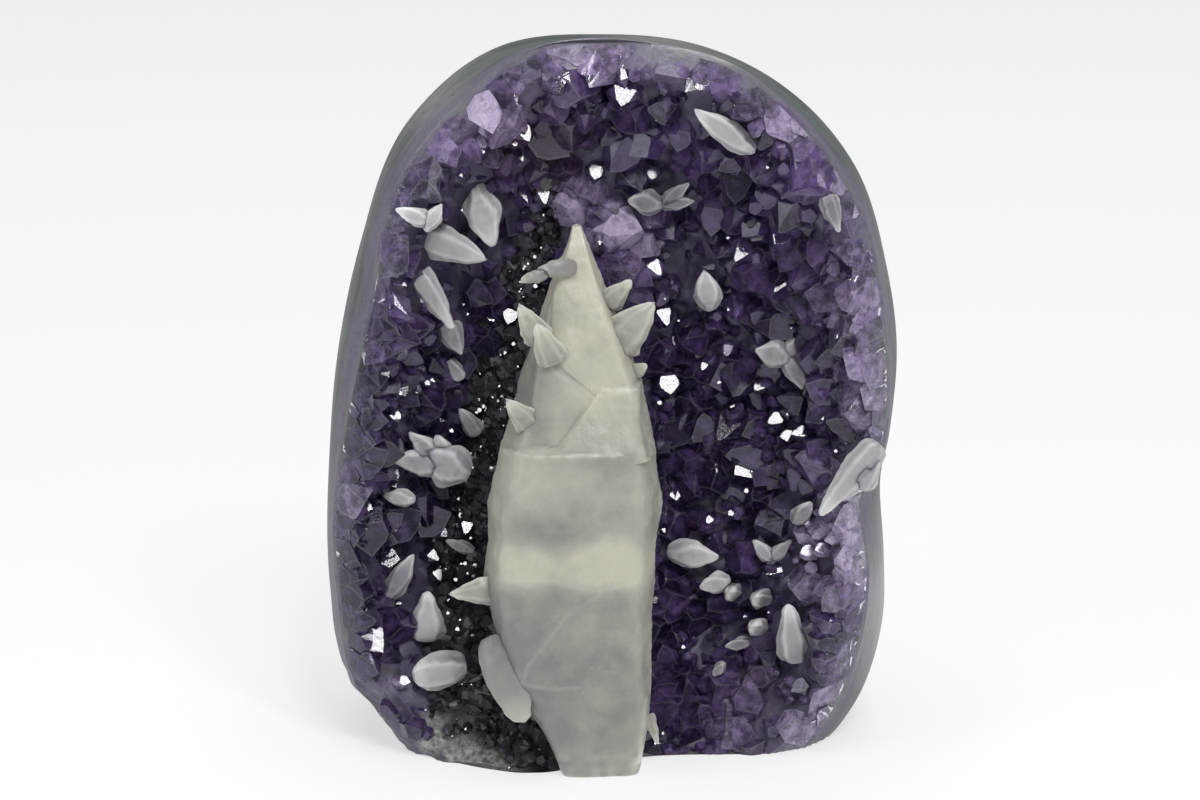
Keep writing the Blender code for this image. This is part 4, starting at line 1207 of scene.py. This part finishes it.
@dataclass(frozen=True)
class Dogtooth:
    """A pointed calcite crystal, widest below its middle, with six worn sides that zigzag where they meet."""

    around: int = 36
    along: int = 40
    flatness: float = 0.75
    stagger: float = 0.07
    wear: float = 18.0  # the higher, the sharper its edges
    # Share of its length, share of its half width.
    profile: Line = (
        (0.0, 0.0), (0.02, 0.4), (0.1, 0.6), (0.24, 0.88), (0.4, 1.0), (0.6, 0.84), (0.8, 0.52), (0.93, 0.27),
        (0.985, 0.14), (1.0, 0.0),
    )

    def solid(self, root: Array, tip: Array, half: float, seed: int) -> tuple[Array, list, Array, Array]:
        """Builds one crystal.

        At each share of its length six planes stand round the axis at 60 degrees. Their distance is the profile,
        read a little early or late in turn. The reach in a direction is a soft smallest of the planes' reaches: the
        sum of their inverse reaches to the power wear, to the power minus one over wear.

        Args:
            root: Where it starts, x, y, z.
            tip: Where it ends.
            half: Half of its width.
            seed: Chooses its unevenness.

        Returns:
            Its points, its faces, each point's share of the length, and a mask for painted highlights: 1 at its edges
            and along the two sides that face left and right, as a bright outline.
        """
        axis = tip - root
        length = float(np.linalg.norm(axis))
        up = axis / length
        broad = np.cross(up, [0.0, 1.0, 0.0])
        broad = unit(broad if np.linalg.norm(broad) > 0.05 else np.cross(up, [1.0, 0.0, 0.0]))
        deep = np.cross(up, broad)
        shares, widths = np.array(self.profile, float).T
        share = 0.5 - 0.5 * np.cos(np.linspace(0.06, math.pi - 0.06, self.along))
        angle = np.arange(self.around) * 2 * math.pi / self.around
        inverse = np.zeros((self.along, self.around))
        for k in range(6):
            early = self.stagger * (1 if k % 2 else -1) * np.sin(share * math.pi)
            distance = np.maximum(np.interp(share + early, shares, widths), 0.04)
            facing = np.maximum(np.cos(angle - math.radians(30 + 60 * k)), 0.0)
            inverse += (facing / distance[:, None]) ** self.wear
        reach = half * inverse ** (-1 / self.wear)
        side, thick = reach * np.cos(angle), self.flatness * reach * np.sin(angle)
        points = root + side[..., None] * broad + thick[..., None] * deep + (share * length)[:, None, None] * up
        uneven = (
            0.15 * lattice_noise(points + seed * 13.7, 0.95 * half, 41) + 0.07 * lattice_noise(points, 0.4 * half, 42)
        )
        points += half * uneven[..., None] * unit(points - (root + (share * length)[:, None, None] * up))
        solid, faces = ring_solid(points, root, tip)
        # Painted highlight mask: the edges between sides, and the sides facing left and right, which draw a bright
        # outline.
        edge = np.maximum(
            soft_step(reach / reach.mean(axis=1, keepdims=True), 1.01, 1.09),
            soft_step(np.abs(np.cos(angle)), 0.86, 1.0)
        )
        return solid, faces, np.concatenate(
            [np.repeat(share, self.around), [0.0, 1.0]]
        ), np.append(edge.ravel(), [0.0, 1.0])


@dataclass
class SmallCalcites:
    """The small calcites scattered over the crust, one piece for each node of the part."""

    shape: Dogtooth = Dogtooth()
    blunt: Dogtooth = Dogtooth(wear=22.0, stagger=0.09, profile=(
        (0.0, 0.0), (0.01, 0.45), (0.06, 0.7), (0.2, 0.92), (0.45, 1.0), (0.7, 0.9), (0.88, 0.66),
        (0.965, 0.42), (1.0, 0.0)))
    broad: Dogtooth = Dogtooth(stagger=0.03, profile=(
        (0.0, 0.0), (0.01, 0.5), (0.05, 0.84), (0.18, 1.0), (0.4, 0.9), (0.65, 0.66), (0.85, 0.42),
        (0.95, 0.26), (0.985, 0.15), (1.0, 0.0)))
    tapered: tuple[str, ...] = (
        "spire_lower_right", "leaf_left_flat", "leaf_grey_left", "leaf_left_lower", "bud_left", "leaf_far_right",
        "ridge_right", "leaf_lower_left"
    )
    stubby: tuple[str, ...] = (
        "egg_lower_left", "bud_dark", "bead_middle", "bead_upper", "bead_lower",
    )

    def arms(self, leaf: Line) -> list[tuple[Array, Array, float]]:
        """Roots, tips and half widths of a cluster's arms, at one common depth just off the lining.

        Each arm leans out of the bowl towards its tip, and the arms of a cluster start behind their shared root.
        """
        first = leaf[0]
        x, z = np.array([(first[0] + first[2]) / 2]), np.array([(first[1] + first[3]) / 2])
        lining, polished = (float(FORM.depth(sheet, x, z)[0]) for sheet in (Sheet.LINING, Sheet.POLISHED))
        y = max(lining - SMALL_OUT, polished - SMALL_PROUD)
        made = []
        for x0, z0, x1, z1, width in leaf:
            away = np.array([x1 - x0, 0.0, z1 - z0])
            lean = SMALL_LEAN * float(np.linalg.norm(away)) / 2
            back = unit(away) * (ARM_OVERLAP if len(leaf) > 1 else 0.0)
            made.append((np.array([x0, y + lean, z0]) - back, np.array([x1, y - lean, z1]), width / 2))
        return made

    def bead(self, x: float, z: float, width: float) -> list[tuple[Array, Array, float]]:
        """Root, tip and half width of a bead, which stands straight off the lining."""
        px, pz = np.array([x]), np.array([z])
        out = FORM.normal(px, pz)[0]
        root = np.array([x, float(FORM.depth(Sheet.LINING, px, pz)[0]), z]) + out * BEAD_SEAT
        return [(root, root + out * BEAD_LENGTH, width / 2)]

    def build(self, finish: bpy.types.Material) -> list[bpy.types.Object]:
        """Builds them all."""
        every = [(name, self.arms(leaf)) for name, leaf in LEAVES]
        every += [(name, self.bead(x, z, width)) for name, x, z, width in BEADS]
        return [
            self.piece("frosted_" + name, arms, finish, Slot.FROSTED, n, "calcite_" + name)
            for n, (name, arms) in enumerate(every)
        ]

    def piece(
        self, name: str, arms: list[tuple[Array, Array, float]], finish: bpy.types.Material, slot: Slot,
        seed: int, *nodes: str
    ) -> bpy.types.Object:
        """Joins a cluster's arms into one mesh, with a field that is warm towards the tips, and one that whitens the
        tips and paints highlights along the edges and outline.

        Args:
            name: The piece's name.
            arms: Roots, tips and half widths.
            finish: Its material.
            slot: The record's slot.
            seed: Chooses its unevenness.
            nodes: The nodes that it stands for.

        Returns:
            The piece.
        """
        points, faces, shares, edges = [], [], [], []
        kind = name.removeprefix("frosted_")
        shape = self.blunt if kind in self.stubby else self.broad if kind in self.tapered else self.shape
        for k, (root, tip, half) in enumerate(arms):
            solid, ring, share, edge = shape.solid(root, tip, half, seed * 7 + k)
            start = sum(len(part) for part in points)
            faces += [[start + i for i in face] for face in ring]
            points.append(solid)
            shares.append(share)
            edges.append(edge)
        share, edge = np.concatenate(shares), np.concatenate(edges)
        rng = np.random.default_rng(seed + 50)
        dull = rng.uniform(*CLEARER.get(kind, CLOUDED))
        warm = np.clip(rng.uniform(0.2, 0.75) + 0.5 * (share - 0.5), 0, 1)
        # tip: whiter towards the tips, plus the painted highlight along the edges and outline.
        tip = np.clip(0.6 * soft_step(share, 0.6, 1.0) + 0.5 * edge, 0, 1)
        fields = {"warm": warm, "tip": tip, "dull": dull * (1 - 0.6 * tip)}
        made = write_mesh(name, np.concatenate(points), faces, finish, fields)
        made.data.shade_smooth()
        made.data.set_sharp_from_angle(angle=math.radians(50))
        return carry(made, slot, *nodes)


@dataclass
class LargeCalcite:
    """The large calcite: a broad lower block with a ledge, a slimmer upper crystal, and a sloping shoulder between."""

    around: int = 220
    rows: int = 260
    top: float = 112.5
    slant: float = 0.72
    block_wear: float = 8.0  # softer than the other edges, which have 15
    block_fullness: float = 1.04  # makes up for what the softer edges take off the block's width
    # Height, left x, right x, middle depth, half of its depth.
    lower: Line = (
        (-3.0, -10.6, 6.0, -30.5, 8.0), (0.0, -10.6, 6.0, -30.5, 8.0), (8.5, -14.4, 7.8, -29.0, 10.4),
        (20.0, -22.2, 8.9, -27.0, 13.0), (40.0, -26.8, 9.5, -26.0, 14.5), (56.0, -25.9, 10.9, -25.6, 14.2),
        (69.0, -23.0, 9.4, -25.0, 13.0), (70.4, -20.5, 8.0, -24.8, 10.0),
    )
    waist: Line = (
        (62.0, -22.5, 9.6, -24.6, 10.6), (66.0, -23.6, 9.9, -24.4, 11.4), (78.0, -19.9, 7.2, -23.6, 9.6),
        (91.0, -16.4, 3.0, -22.6, 7.0), (100.0, -13.2, -0.6, -22.4, 4.6), (106.0, -10.8, -3.0, -22.0, 3.0),
    )
    cap: Line = (
        (79.4, -3.4, 6.6, -23.6, 9.5), (84.9, -11.7, 5.0, -23.2, 8.8), (90.4, -14.9, 3.2, -22.8, 7.8),
        (100.0, -13.2, -0.6, -22.4, 5.3), (109.0, -9.2, -4.4, -21.9, 2.6), (112.5, -8.0, -6.0, -21.6, 1.1),
    )
    tooth: Dogtooth = Dogtooth(
        flatness=0.5, stagger=0.02, wear=12.0,
        profile=((0.0, 0.9), (0.1, 1.0), (0.35, 0.84), (0.6, 0.62), (0.82, 0.42), (0.94, 0.26), (0.985, 0.13), (1.0, 0.0)),
    )
    # Daughter crystals, pointed ones and rounded lobes: root (x, y, z), tip (x, y, z), half width.
    teeth: tuple = (
        ((-14.2, -30.5, 91.0), (-18.4, -33.0, 98.9), 3.0), ((-11.6, -31.6, 87.0), (-14.8, -35.6, 95.6), 3.2),
        ((-16.4, -31.8, 73.6), (-21.0, -35.4, 80.0), 2.8), ((-0.6, -24.6, 97.4), (3.9, -27.4, 102.6), 2.5),
        ((1.0, -25.2, 89.4), (8.6, -28.4, 98.2), 4.6), ((4.4, -25.6, 83.0), (7.1, -27.0, 85.2), 1.7),
        ((-24.0, -31.0, 38.8), (-33.0, -33.2, 38.6), 3.0), ((7.6, -26.6, 10.4), (9.7, -27.2, 4.4), 1.4),
    )
    lobes: tuple = (
        ((-7.0, -26.3, 105.2), (-14.8, -29.0, 104.8), 2.0), ((-12.6, -28.6, 104.4), (-18.2, -29.6, 102.8), 1.35),
        ((-24.6, -32.0, 29.4), (-17.6, -39.2, 13.2), 4.3),
    )
    lobe: Dogtooth = Dogtooth(wear=5.0, stagger=0.02, flatness=0.7, profile=(
        (0.0, 0.0), (0.01, 0.5), (0.06, 0.74), (0.2, 0.96), (0.4, 1.0), (0.65, 0.84), (0.85, 0.62), (0.96, 0.4),
        (1.0, 0.0)))

    def reach(self, normals: Array, offsets: Array, directions: Array, wear: float = 15.0) -> Array:
        """How far rays go from the axis until they leave a block, row by row.

        A block is the common part of half-planes. Each plane ahead gives a reach, its distance over the cosine to
        the ray. The exit is their soft smallest, and a ray that enters later than that misses the block.

        Args:
            normals: Outward normals, by row, then plane.
            offsets: The planes' distances from the axis, below 0 where the axis is outside.
            directions: The rays' directions.
            wear: How sharp the edges are: the higher, the sharper.

        Returns:
            Reaches, by row, then ray, and 0 where the ray misses.
        """
        toward = np.einsum("rkc,ac->rak", normals, directions)
        gap = offsets[:, None, :]
        ahead = np.where((gap > 0) & (toward > 1e-9), toward / np.maximum(gap, 1e-6), 0.0)
        nearest = np.maximum(ahead.max(axis=2, keepdims=True), 1e-12)
        leaves = 1 / (nearest[..., 0] * ((ahead / nearest) ** wear).sum(axis=2) ** (1 / wear))
        enters = np.where((gap < 0) & (toward < -1e-9), gap / np.minimum(toward, -1e-9), 0.0).max(axis=2)
        missed = ((gap < 0) & (toward >= -1e-9)).any(axis=2)
        return np.where((leaves > enters) & ~missed, leaves, 0.0)

    def block(self, table: Line, height: Array, axis: Array) -> tuple[Array, Array]:
        """Planes of a six-sided block: its corners at each height are read straight between the table's rows."""
        rows = np.array(table, float)
        left, right, middle, half = (np.interp(height, rows[:, 0], rows[:, k]) for k in (1, 2, 3, 4))
        x, wide = (left + right) / 2, (right - left) / 2
        signs = np.array([(1, 0), (self.slant, 1), (-self.slant, 1), (-1, 0), (-self.slant, -1), (self.slant, -1)])
        corners = np.stack(
            [x[:, None] + wide[:, None] * signs[:, 0], middle[:, None] + half[:, None] * signs[:, 1]], -1
        )
        edge = np.roll(corners, -1, axis=1) - corners
        normals = unit(np.stack([edge[..., 1], -edge[..., 0]], axis=-1))
        return normals, ((corners - axis[:, None, :]) * normals).sum(-1)

    @staticmethod
    def cut(normal: tuple[float, float], through: Array, axis: Array) -> tuple[Array, Array]:
        """One more plane with a fixed normal, through a point that moves with the height."""
        direction = unit(np.array(normal, float))
        normals = np.broadcast_to(direction, (len(axis), 1, 2))
        return normals, ((through - axis) @ direction)[:, None]

    def body(self) -> tuple[Array, list]:
        """The body's skin: at each height, the furthest reach of lower block, waist, cap and shoulder."""
        height = np.linspace(0.0, self.top, self.rows)
        low, high = np.array(self.lower, float), np.array(self.waist + self.cap[-2:], float)
        centres = [[np.interp(height, t[:, 0], v) for v in ((t[:, 1] + t[:, 2]) / 2, t[:, 3])] for t in (low, high)]
        mix = soft_step(height, 60, 70)
        axis = np.stack([(1 - mix) * a + mix * b for a, b in zip(*centres)], axis=-1)
        angle = np.arange(self.around) * 2 * math.pi / self.around
        directions = np.stack([np.cos(angle), np.sin(angle)], axis=-1)
        front = np.interp(height, low[:, 0], low[:, 3] - low[:, 4])

        normals, offsets = self.block(self.lower, height, axis)
        ridge_line = np.stack([-18.5 + (height - 24.0) * 1.09, front], axis=-1)
        ridge_normal, ridge_offset = self.cut((0.08, -0.997), ridge_line, axis)
        normals = np.concatenate([normals, ridge_normal], axis=1)
        offsets = np.concatenate([offsets, ridge_offset], axis=1)
        turned = np.stack([3 * directions[:, 0], 3 * directions[:, 1], np.zeros(self.around)], axis=-1)
        chipped = 0.9 * lattice_noise(turned, 0.7, 58) + 2.6 * soft_step(-directions[:, 0], 0.5, 1.0)
        block = self.block_fullness * self.reach(normals, offsets, directions, self.block_wear)
        lower = np.where(height[:, None] + chipped < 70.4, block, 0.0)

        waist = self.reach(*self.block(self.waist, height, axis), directions)
        waist = np.where((height[:, None] > 64.0) & (height[:, None] < 106.0), waist, 0.0)
        cap = np.where(height[:, None] > 79.4, self.reach(*self.block(self.cap, height, axis), directions), 0.0)

        face = np.interp(height, [66.0, 69.6, 82.0], [-37.4, -37.4, -32.7])
        edge = np.interp(height, [66.0, 82.0], [9.8, 6.4])
        middle = axis[:, 1]
        shoulder_planes = [
            self.cut((0.0, -1.0), np.stack([edge, face], -1), axis),
            self.cut((0.0, 1.0), np.stack([edge, middle + 4], -1), axis),
            self.cut((0.985, -0.17), np.stack([edge, middle], -1), axis),
            self.cut((0.86, 0.5), np.stack([edge, middle], -1), axis),
            self.cut((-0.95, -0.3), np.stack([-10.3 + (height - 69.8) * 0.708, face], -1), axis),
        ]
        normals, offsets = (np.concatenate([p[k] for p in shoulder_planes], axis=1) for k in (0, 1))
        inside = ((height > 67.3) & (height < 81.6))[:, None]
        shoulder = np.where(inside, self.reach(normals, offsets, directions), 0.0)

        reach = np.maximum.reduce([lower, waist, cap, shoulder, np.full_like(lower, 0.3)])
        flat = axis[:, None, :] + reach[..., None] * directions
        place = np.concatenate([flat, np.broadcast_to(height[:, None, None], reach.shape + (1,))], axis=2)
        steps = 0.16 * (height * 0.55 % 1.0)[:, None] * np.maximum(directions[:, 0], 0) ** 4
        worn = (
            0.45 * lattice_noise(place, 8.0, 51) + 0.2 * lattice_noise(place, 3.0, 52)
            + 0.1 * lattice_noise(place, 1.2, 53)
        )
        place[..., :2] += ((worn + steps) * soft_step(self.top - height, -1.0, 6.0)[:, None])[..., None] * directions
        foot, tip = np.array([*axis[0], 0.0]), np.array([*axis[-1], self.top + 0.5])
        return ring_solid(place, foot, tip)

    # Lines on its front, as points (x, z): the top of the grey foot, the edge of the lower facet, and a faint crack.
    lines: tuple[Line, ...] = (
        ((-26.5, 43.1), (-11.8, 43.5), (-3.5, 41.2), (5.0, 42.5)), ((-17.5, 21.2), (-12.0, 20.2), (-6.4, 20.4)),
        ((-18.4, 16.0), (-18.4, 20.6), (-16.9, 25.3), (-9.0, 35.9), (-2.3, 40.6)),
        ((-14.8, 93.4), (-14.0, 89.0), (-11.7, 84.9), (-3.9, 80.1), (5.1, 81.4)),
    )
    # Clouds inside, as middle (x, z), half sizes, how much creamier than the rest.
    clouds: Line = (
        (-18.5, 46.5, 6.5, 4.6, 0.8), (-1.0, 46.0, 9.5, 5.2, 0.75), (-13.5, 53.4, 8.0, 3.8, -0.28),
        (-7.5, 57.5, 4.5, 4.5, -0.2),
        (-17.0, 62.5, 7.0, 5.5, 0.25), (2.0, 57.0, 7.0, 8.0, 0.0), (-17.0, 82.0, 4.5, 12.0, -0.5),
        (-12.0, 75.0, 6.0, 4.5, -0.2),
        (2.0, 74.0, 8.0, 6.0, -0.1), (-4.0, 94.0, 8.0, 14.0, 0.3), (7.5, 30.0, 4.0, 18.0, 0.3),
        (-17.0, 27.0, 7.0, 13.0, -0.25),
    )

    def near_lines(self, points: Array) -> Array:
        """How near each point lies to a line, 1 on it: a bell curve of the distance to the nearest of its stretches."""
        found = np.zeros(len(points))
        for line in self.lines:
            ends = np.array(line, float)
            for start, along in zip(ends[:-1], np.diff(ends, axis=0)):
                offset = points[:, [0, 2]] - start
                share = np.clip(offset @ along / (along @ along), 0.0, 1.0)
                distance = np.linalg.norm(offset - share[:, None] * along, axis=1)
                found = np.maximum(found, np.exp(-((distance / 0.42) ** 2)))
        return found * (points[:, 1] < -26)

    def creaminess_and_painted_shade(self, points: Array) -> Array:
        """How creamy the calcite is: grey below a line at 42 mm, cream above it, a painted shade that darkens the lower
        left, and clouds, each a soft oval.
        """
        x, z = points[:, 0], points[:, 2]
        wavy = z + 1.2 * lattice_noise(points, 9.0, 55)
        warm = (
            0.22 + 0.32 * soft_step(wavy, 39.5, 44.5) + 0.16 * soft_step(z, 68, 72)
            # Painted shade: darker towards the lower left.
            - 0.25 * soft_step(-x - 0.45 * z, -2.0, 6.0)
        )
        for cx, cz, rx, rz, amount in self.clouds:
            warm += amount * np.exp(-(((x - cx) / rx) ** 2 + ((z - cz) / rz) ** 2) ** 1.3)
        return np.clip(warm, 0.0, 1.0)

    def build(self, finish: bpy.types.Material) -> list[bpy.types.Object]:
        """Builds the body and its daughter crystals."""
        points, faces = self.body()
        x, z = points[:, 0], points[:, 2]
        # A noise mask that breaks up the painted light below and the whitening at the bottom.
        patchiness = np.clip(0.5 + 0.8 * lattice_noise(points, 1.6, 56), 0, 1)
        # Painted light: the right edge of the lower block lighter, where the light falls on it.
        right = soft_step(x - np.interp(z, [0, 20, 56, 70], [6.0, 8.9, 10.9, 9.4]), -2.4, -0.4) * (z < 70)
        # Painted highlight along the ledge, where the top of the lower block catches the light.
        ledge = np.exp(-(((z - 69.6) / 0.9) ** 2)) * patchiness
        low = 0.35 * (1 - soft_step(z, 2.0, 9.0)) * patchiness
        faded = np.clip(0.55 + 0.6 * lattice_noise(points, 6.0, 57), 0, 1)
        # tip: whiter at the top, the painted light on the right edge and ledge, whiter over the lowest few millimetres,
        # and the lines on the front.
        tip = (
            0.25 * soft_step(z, 104, 114) + 0.65 * right * patchiness + 0.3 * ledge + low
            + 0.3 * faded * self.near_lines(points)
        )
        fields = {"warm": self.creaminess_and_painted_shade(points), "tip": np.clip(tip, 0, 1)}
        body = write_mesh("calcite_crystal", points, faces, finish, fields)
        body.data.shade_smooth()
        body.data.set_sharp_from_angle(angle=math.radians(35))
        carry(body, Slot.CALCITE, "large_calcite")
        kinds = (("calcite_daughters", self.teeth, self.tooth), ("calcite_lobes", self.lobes, self.lobe))
        made = [body]
        for n, (name, table, shape) in enumerate(kinds):
            arms = [(np.array(root), np.array(tip), half) for root, tip, half in table]
            made.append(SmallCalcites(shape).piece(name, arms, finish, Slot.CALCITE, 90 + n))
        return made


@dataclass(frozen=True)
class Panel:
    """A soft light panel: where it is, what it points at, its sides, and how bright its face is."""

    name: str
    place: tuple[float, float, float]
    aim: tuple[float, float, float]
    sides: tuple[float, float]
    radiance: float


@dataclass
class Studio:
    """The pale floor, the soft light and the camera."""

    elevation_deg: float = 14.0
    distance: float = 702.0
    lens: float = 100.0
    sensor: float = 36.0
    aim: tuple[float, float, float] = (-2.3, 0.0, 71.0)
    backdrop: str = "#f7f8f9"
    sky: str = "#f1f4f8"
    ambient: float = 0.36
    panels: tuple[Panel, ...] = (
        Panel("window_left_pane", (160, -760, 980), (0, 0, 75), (170, 300), 21.0),
        Panel("window_right_pane", (400, -720, 960), (0, 0, 75), (170, 300), 21.0),
        Panel("overhead", (0, 60, 1250), (0, 0, 0), (900, 900), 2.2),
        Panel("left_fill", (-900, -500, 420), (0, 0, 75), (420, 600), 2.0),
    )

    def viewpoint(self) -> tuple[float, float, float]:
        """Where the camera stands: back along its line of sight from the point that it looks at."""
        tilt = math.radians(self.elevation_deg)
        x, y, z = self.aim
        return x, y - self.distance * math.cos(tilt), z + self.distance * math.sin(tilt)

    def build_floor(self, finish: bpy.types.Material) -> bpy.types.Object:
        """A wide flat floor: a grid of x and y at z = 0."""
        side = np.linspace(-6000.0, 6000.0, 13)
        x, y = np.meshgrid(side, side)
        points = np.stack([x, y, np.zeros_like(x)], axis=-1).reshape(-1, 3)
        i = (np.arange(12)[:, None] * 13 + np.arange(12)).reshape(-1)
        floor = write_mesh("floor", points, np.stack([i, i + 1, i + 14, i + 13], -1).tolist(), finish, {})
        return floor

    def build_lights(self) -> None:
        """Area lights. A panel's power is its radiance times pi times its area."""
        for panel in self.panels:
            light = bpy.data.lights.new(panel.name, "AREA")
            light.shape = "RECTANGLE"
            light.size, light.size_y = panel.sides[0] * MM, panel.sides[1] * MM
            light.energy = panel.radiance * math.pi * light.size * light.size_y
            made = bpy.data.objects.new(panel.name, light)
            place, aim = np.array(panel.place) * MM, np.array(panel.aim) * MM
            made.location = place
            back = unit(place - aim)
            made.rotation_euler = (math.acos(back[2]), 0.0, math.atan2(back[0], -back[1]))
            bpy.context.scene.collection.objects.link(made)

    def build_world(self) -> None:
        """Pale air behind the object, and a dimmer even light from it."""
        world = bpy.data.worlds.new("pale_studio")
        world.use_nodes = True
        tree = world.node_tree
        tree.nodes.clear()
        path = add_node(tree, "LightPath")
        seen = add_node(tree, "Background", {"Color": linear(self.backdrop), "Strength": 1.0})
        light = add_node(tree, "Background", {"Color": linear(self.sky), "Strength": self.ambient})
        both = add_node(tree, "MixShader", {0: path.outputs["Is Camera Ray"], 1: light, 2: seen})
        add_node(tree, "OutputWorld", {"Surface": both})
        bpy.context.scene.world = world

    def build_camera(self) -> bpy.types.Object:
        """The camera at the photograph's angle."""
        data = bpy.data.cameras.new("camera")
        data.lens, data.sensor_width = self.lens, self.sensor
        data.clip_start, data.clip_end = 0.01, 50.0
        made = bpy.data.objects.new("camera", data)
        tilt = math.radians(self.elevation_deg)
        made.location = [v * MM for v in self.viewpoint()]
        made.rotation_euler = (math.pi / 2 - tilt, 0.0, 0.0)
        bpy.context.scene.collection.objects.link(made)
        bpy.context.scene.camera = made
        return made


STUDIO = Studio()


def main() -> None:
    """Builds the studio and every piece in order."""
    logging.basicConfig(level=logging.INFO, format="%(name)s: %(message)s")
    for extra in [o for o in bpy.data.objects if o.name in ("Cube", "Light", "Camera")]:
        bpy.data.objects.remove(extra)
    bpy.context.scene.view_settings.view_transform = "Standard"

    STUDIO.build_camera()
    STUDIO.build_world()
    STUDIO.build_lights()
    STUDIO.build_floor(StudioPaper().make())

    amethyst, druse = AmethystQuartz().make(), SmokyDruse().make()
    RockBody().build(HostRock().make())
    CrystalBed().build(GroundQuartz().make())
    CrystalField(
        "amethyst_points", 560, (2.6, 5.0), (-0.6, 1.6), 0.26, SEED, mirrors=MIRRORS, twins=1
    ).build(amethyst)
    small = QuartzTip(middles=False)
    CrystalField(
        "amethyst_small_points", 620, (0.8, 2.0), (0.6, 2.6), 0.34, SEED + 1, even=False, tip=small
    ).build(amethyst)
    CrystalField(
        "amethyst_specks", 130, (0.3, 0.8), (2.4, 4.0), 0.0, SEED + 3, even=False, aimed=True, tip=small
    ).build(amethyst)
    CrystalField(
        "dark_druse", 9500, (0.45, 1.9), (0.0, 1.4), 0.42, SEED + 2, dark=True, even=False, tip=small
    ).build(druse)
    CrystalField(
        "dark_druse_specks", 1500, (0.2, 0.6), (1.6, 3.0), 0.0, SEED + 4, dark=True, even=False, aimed=True, tip=small
    ).build(druse)
    LargeCalcite().build(MilkyCalcite().make())
    SmallCalcites().build(FrostedCalcite().make())


if __name__ == "__main__":
    main()
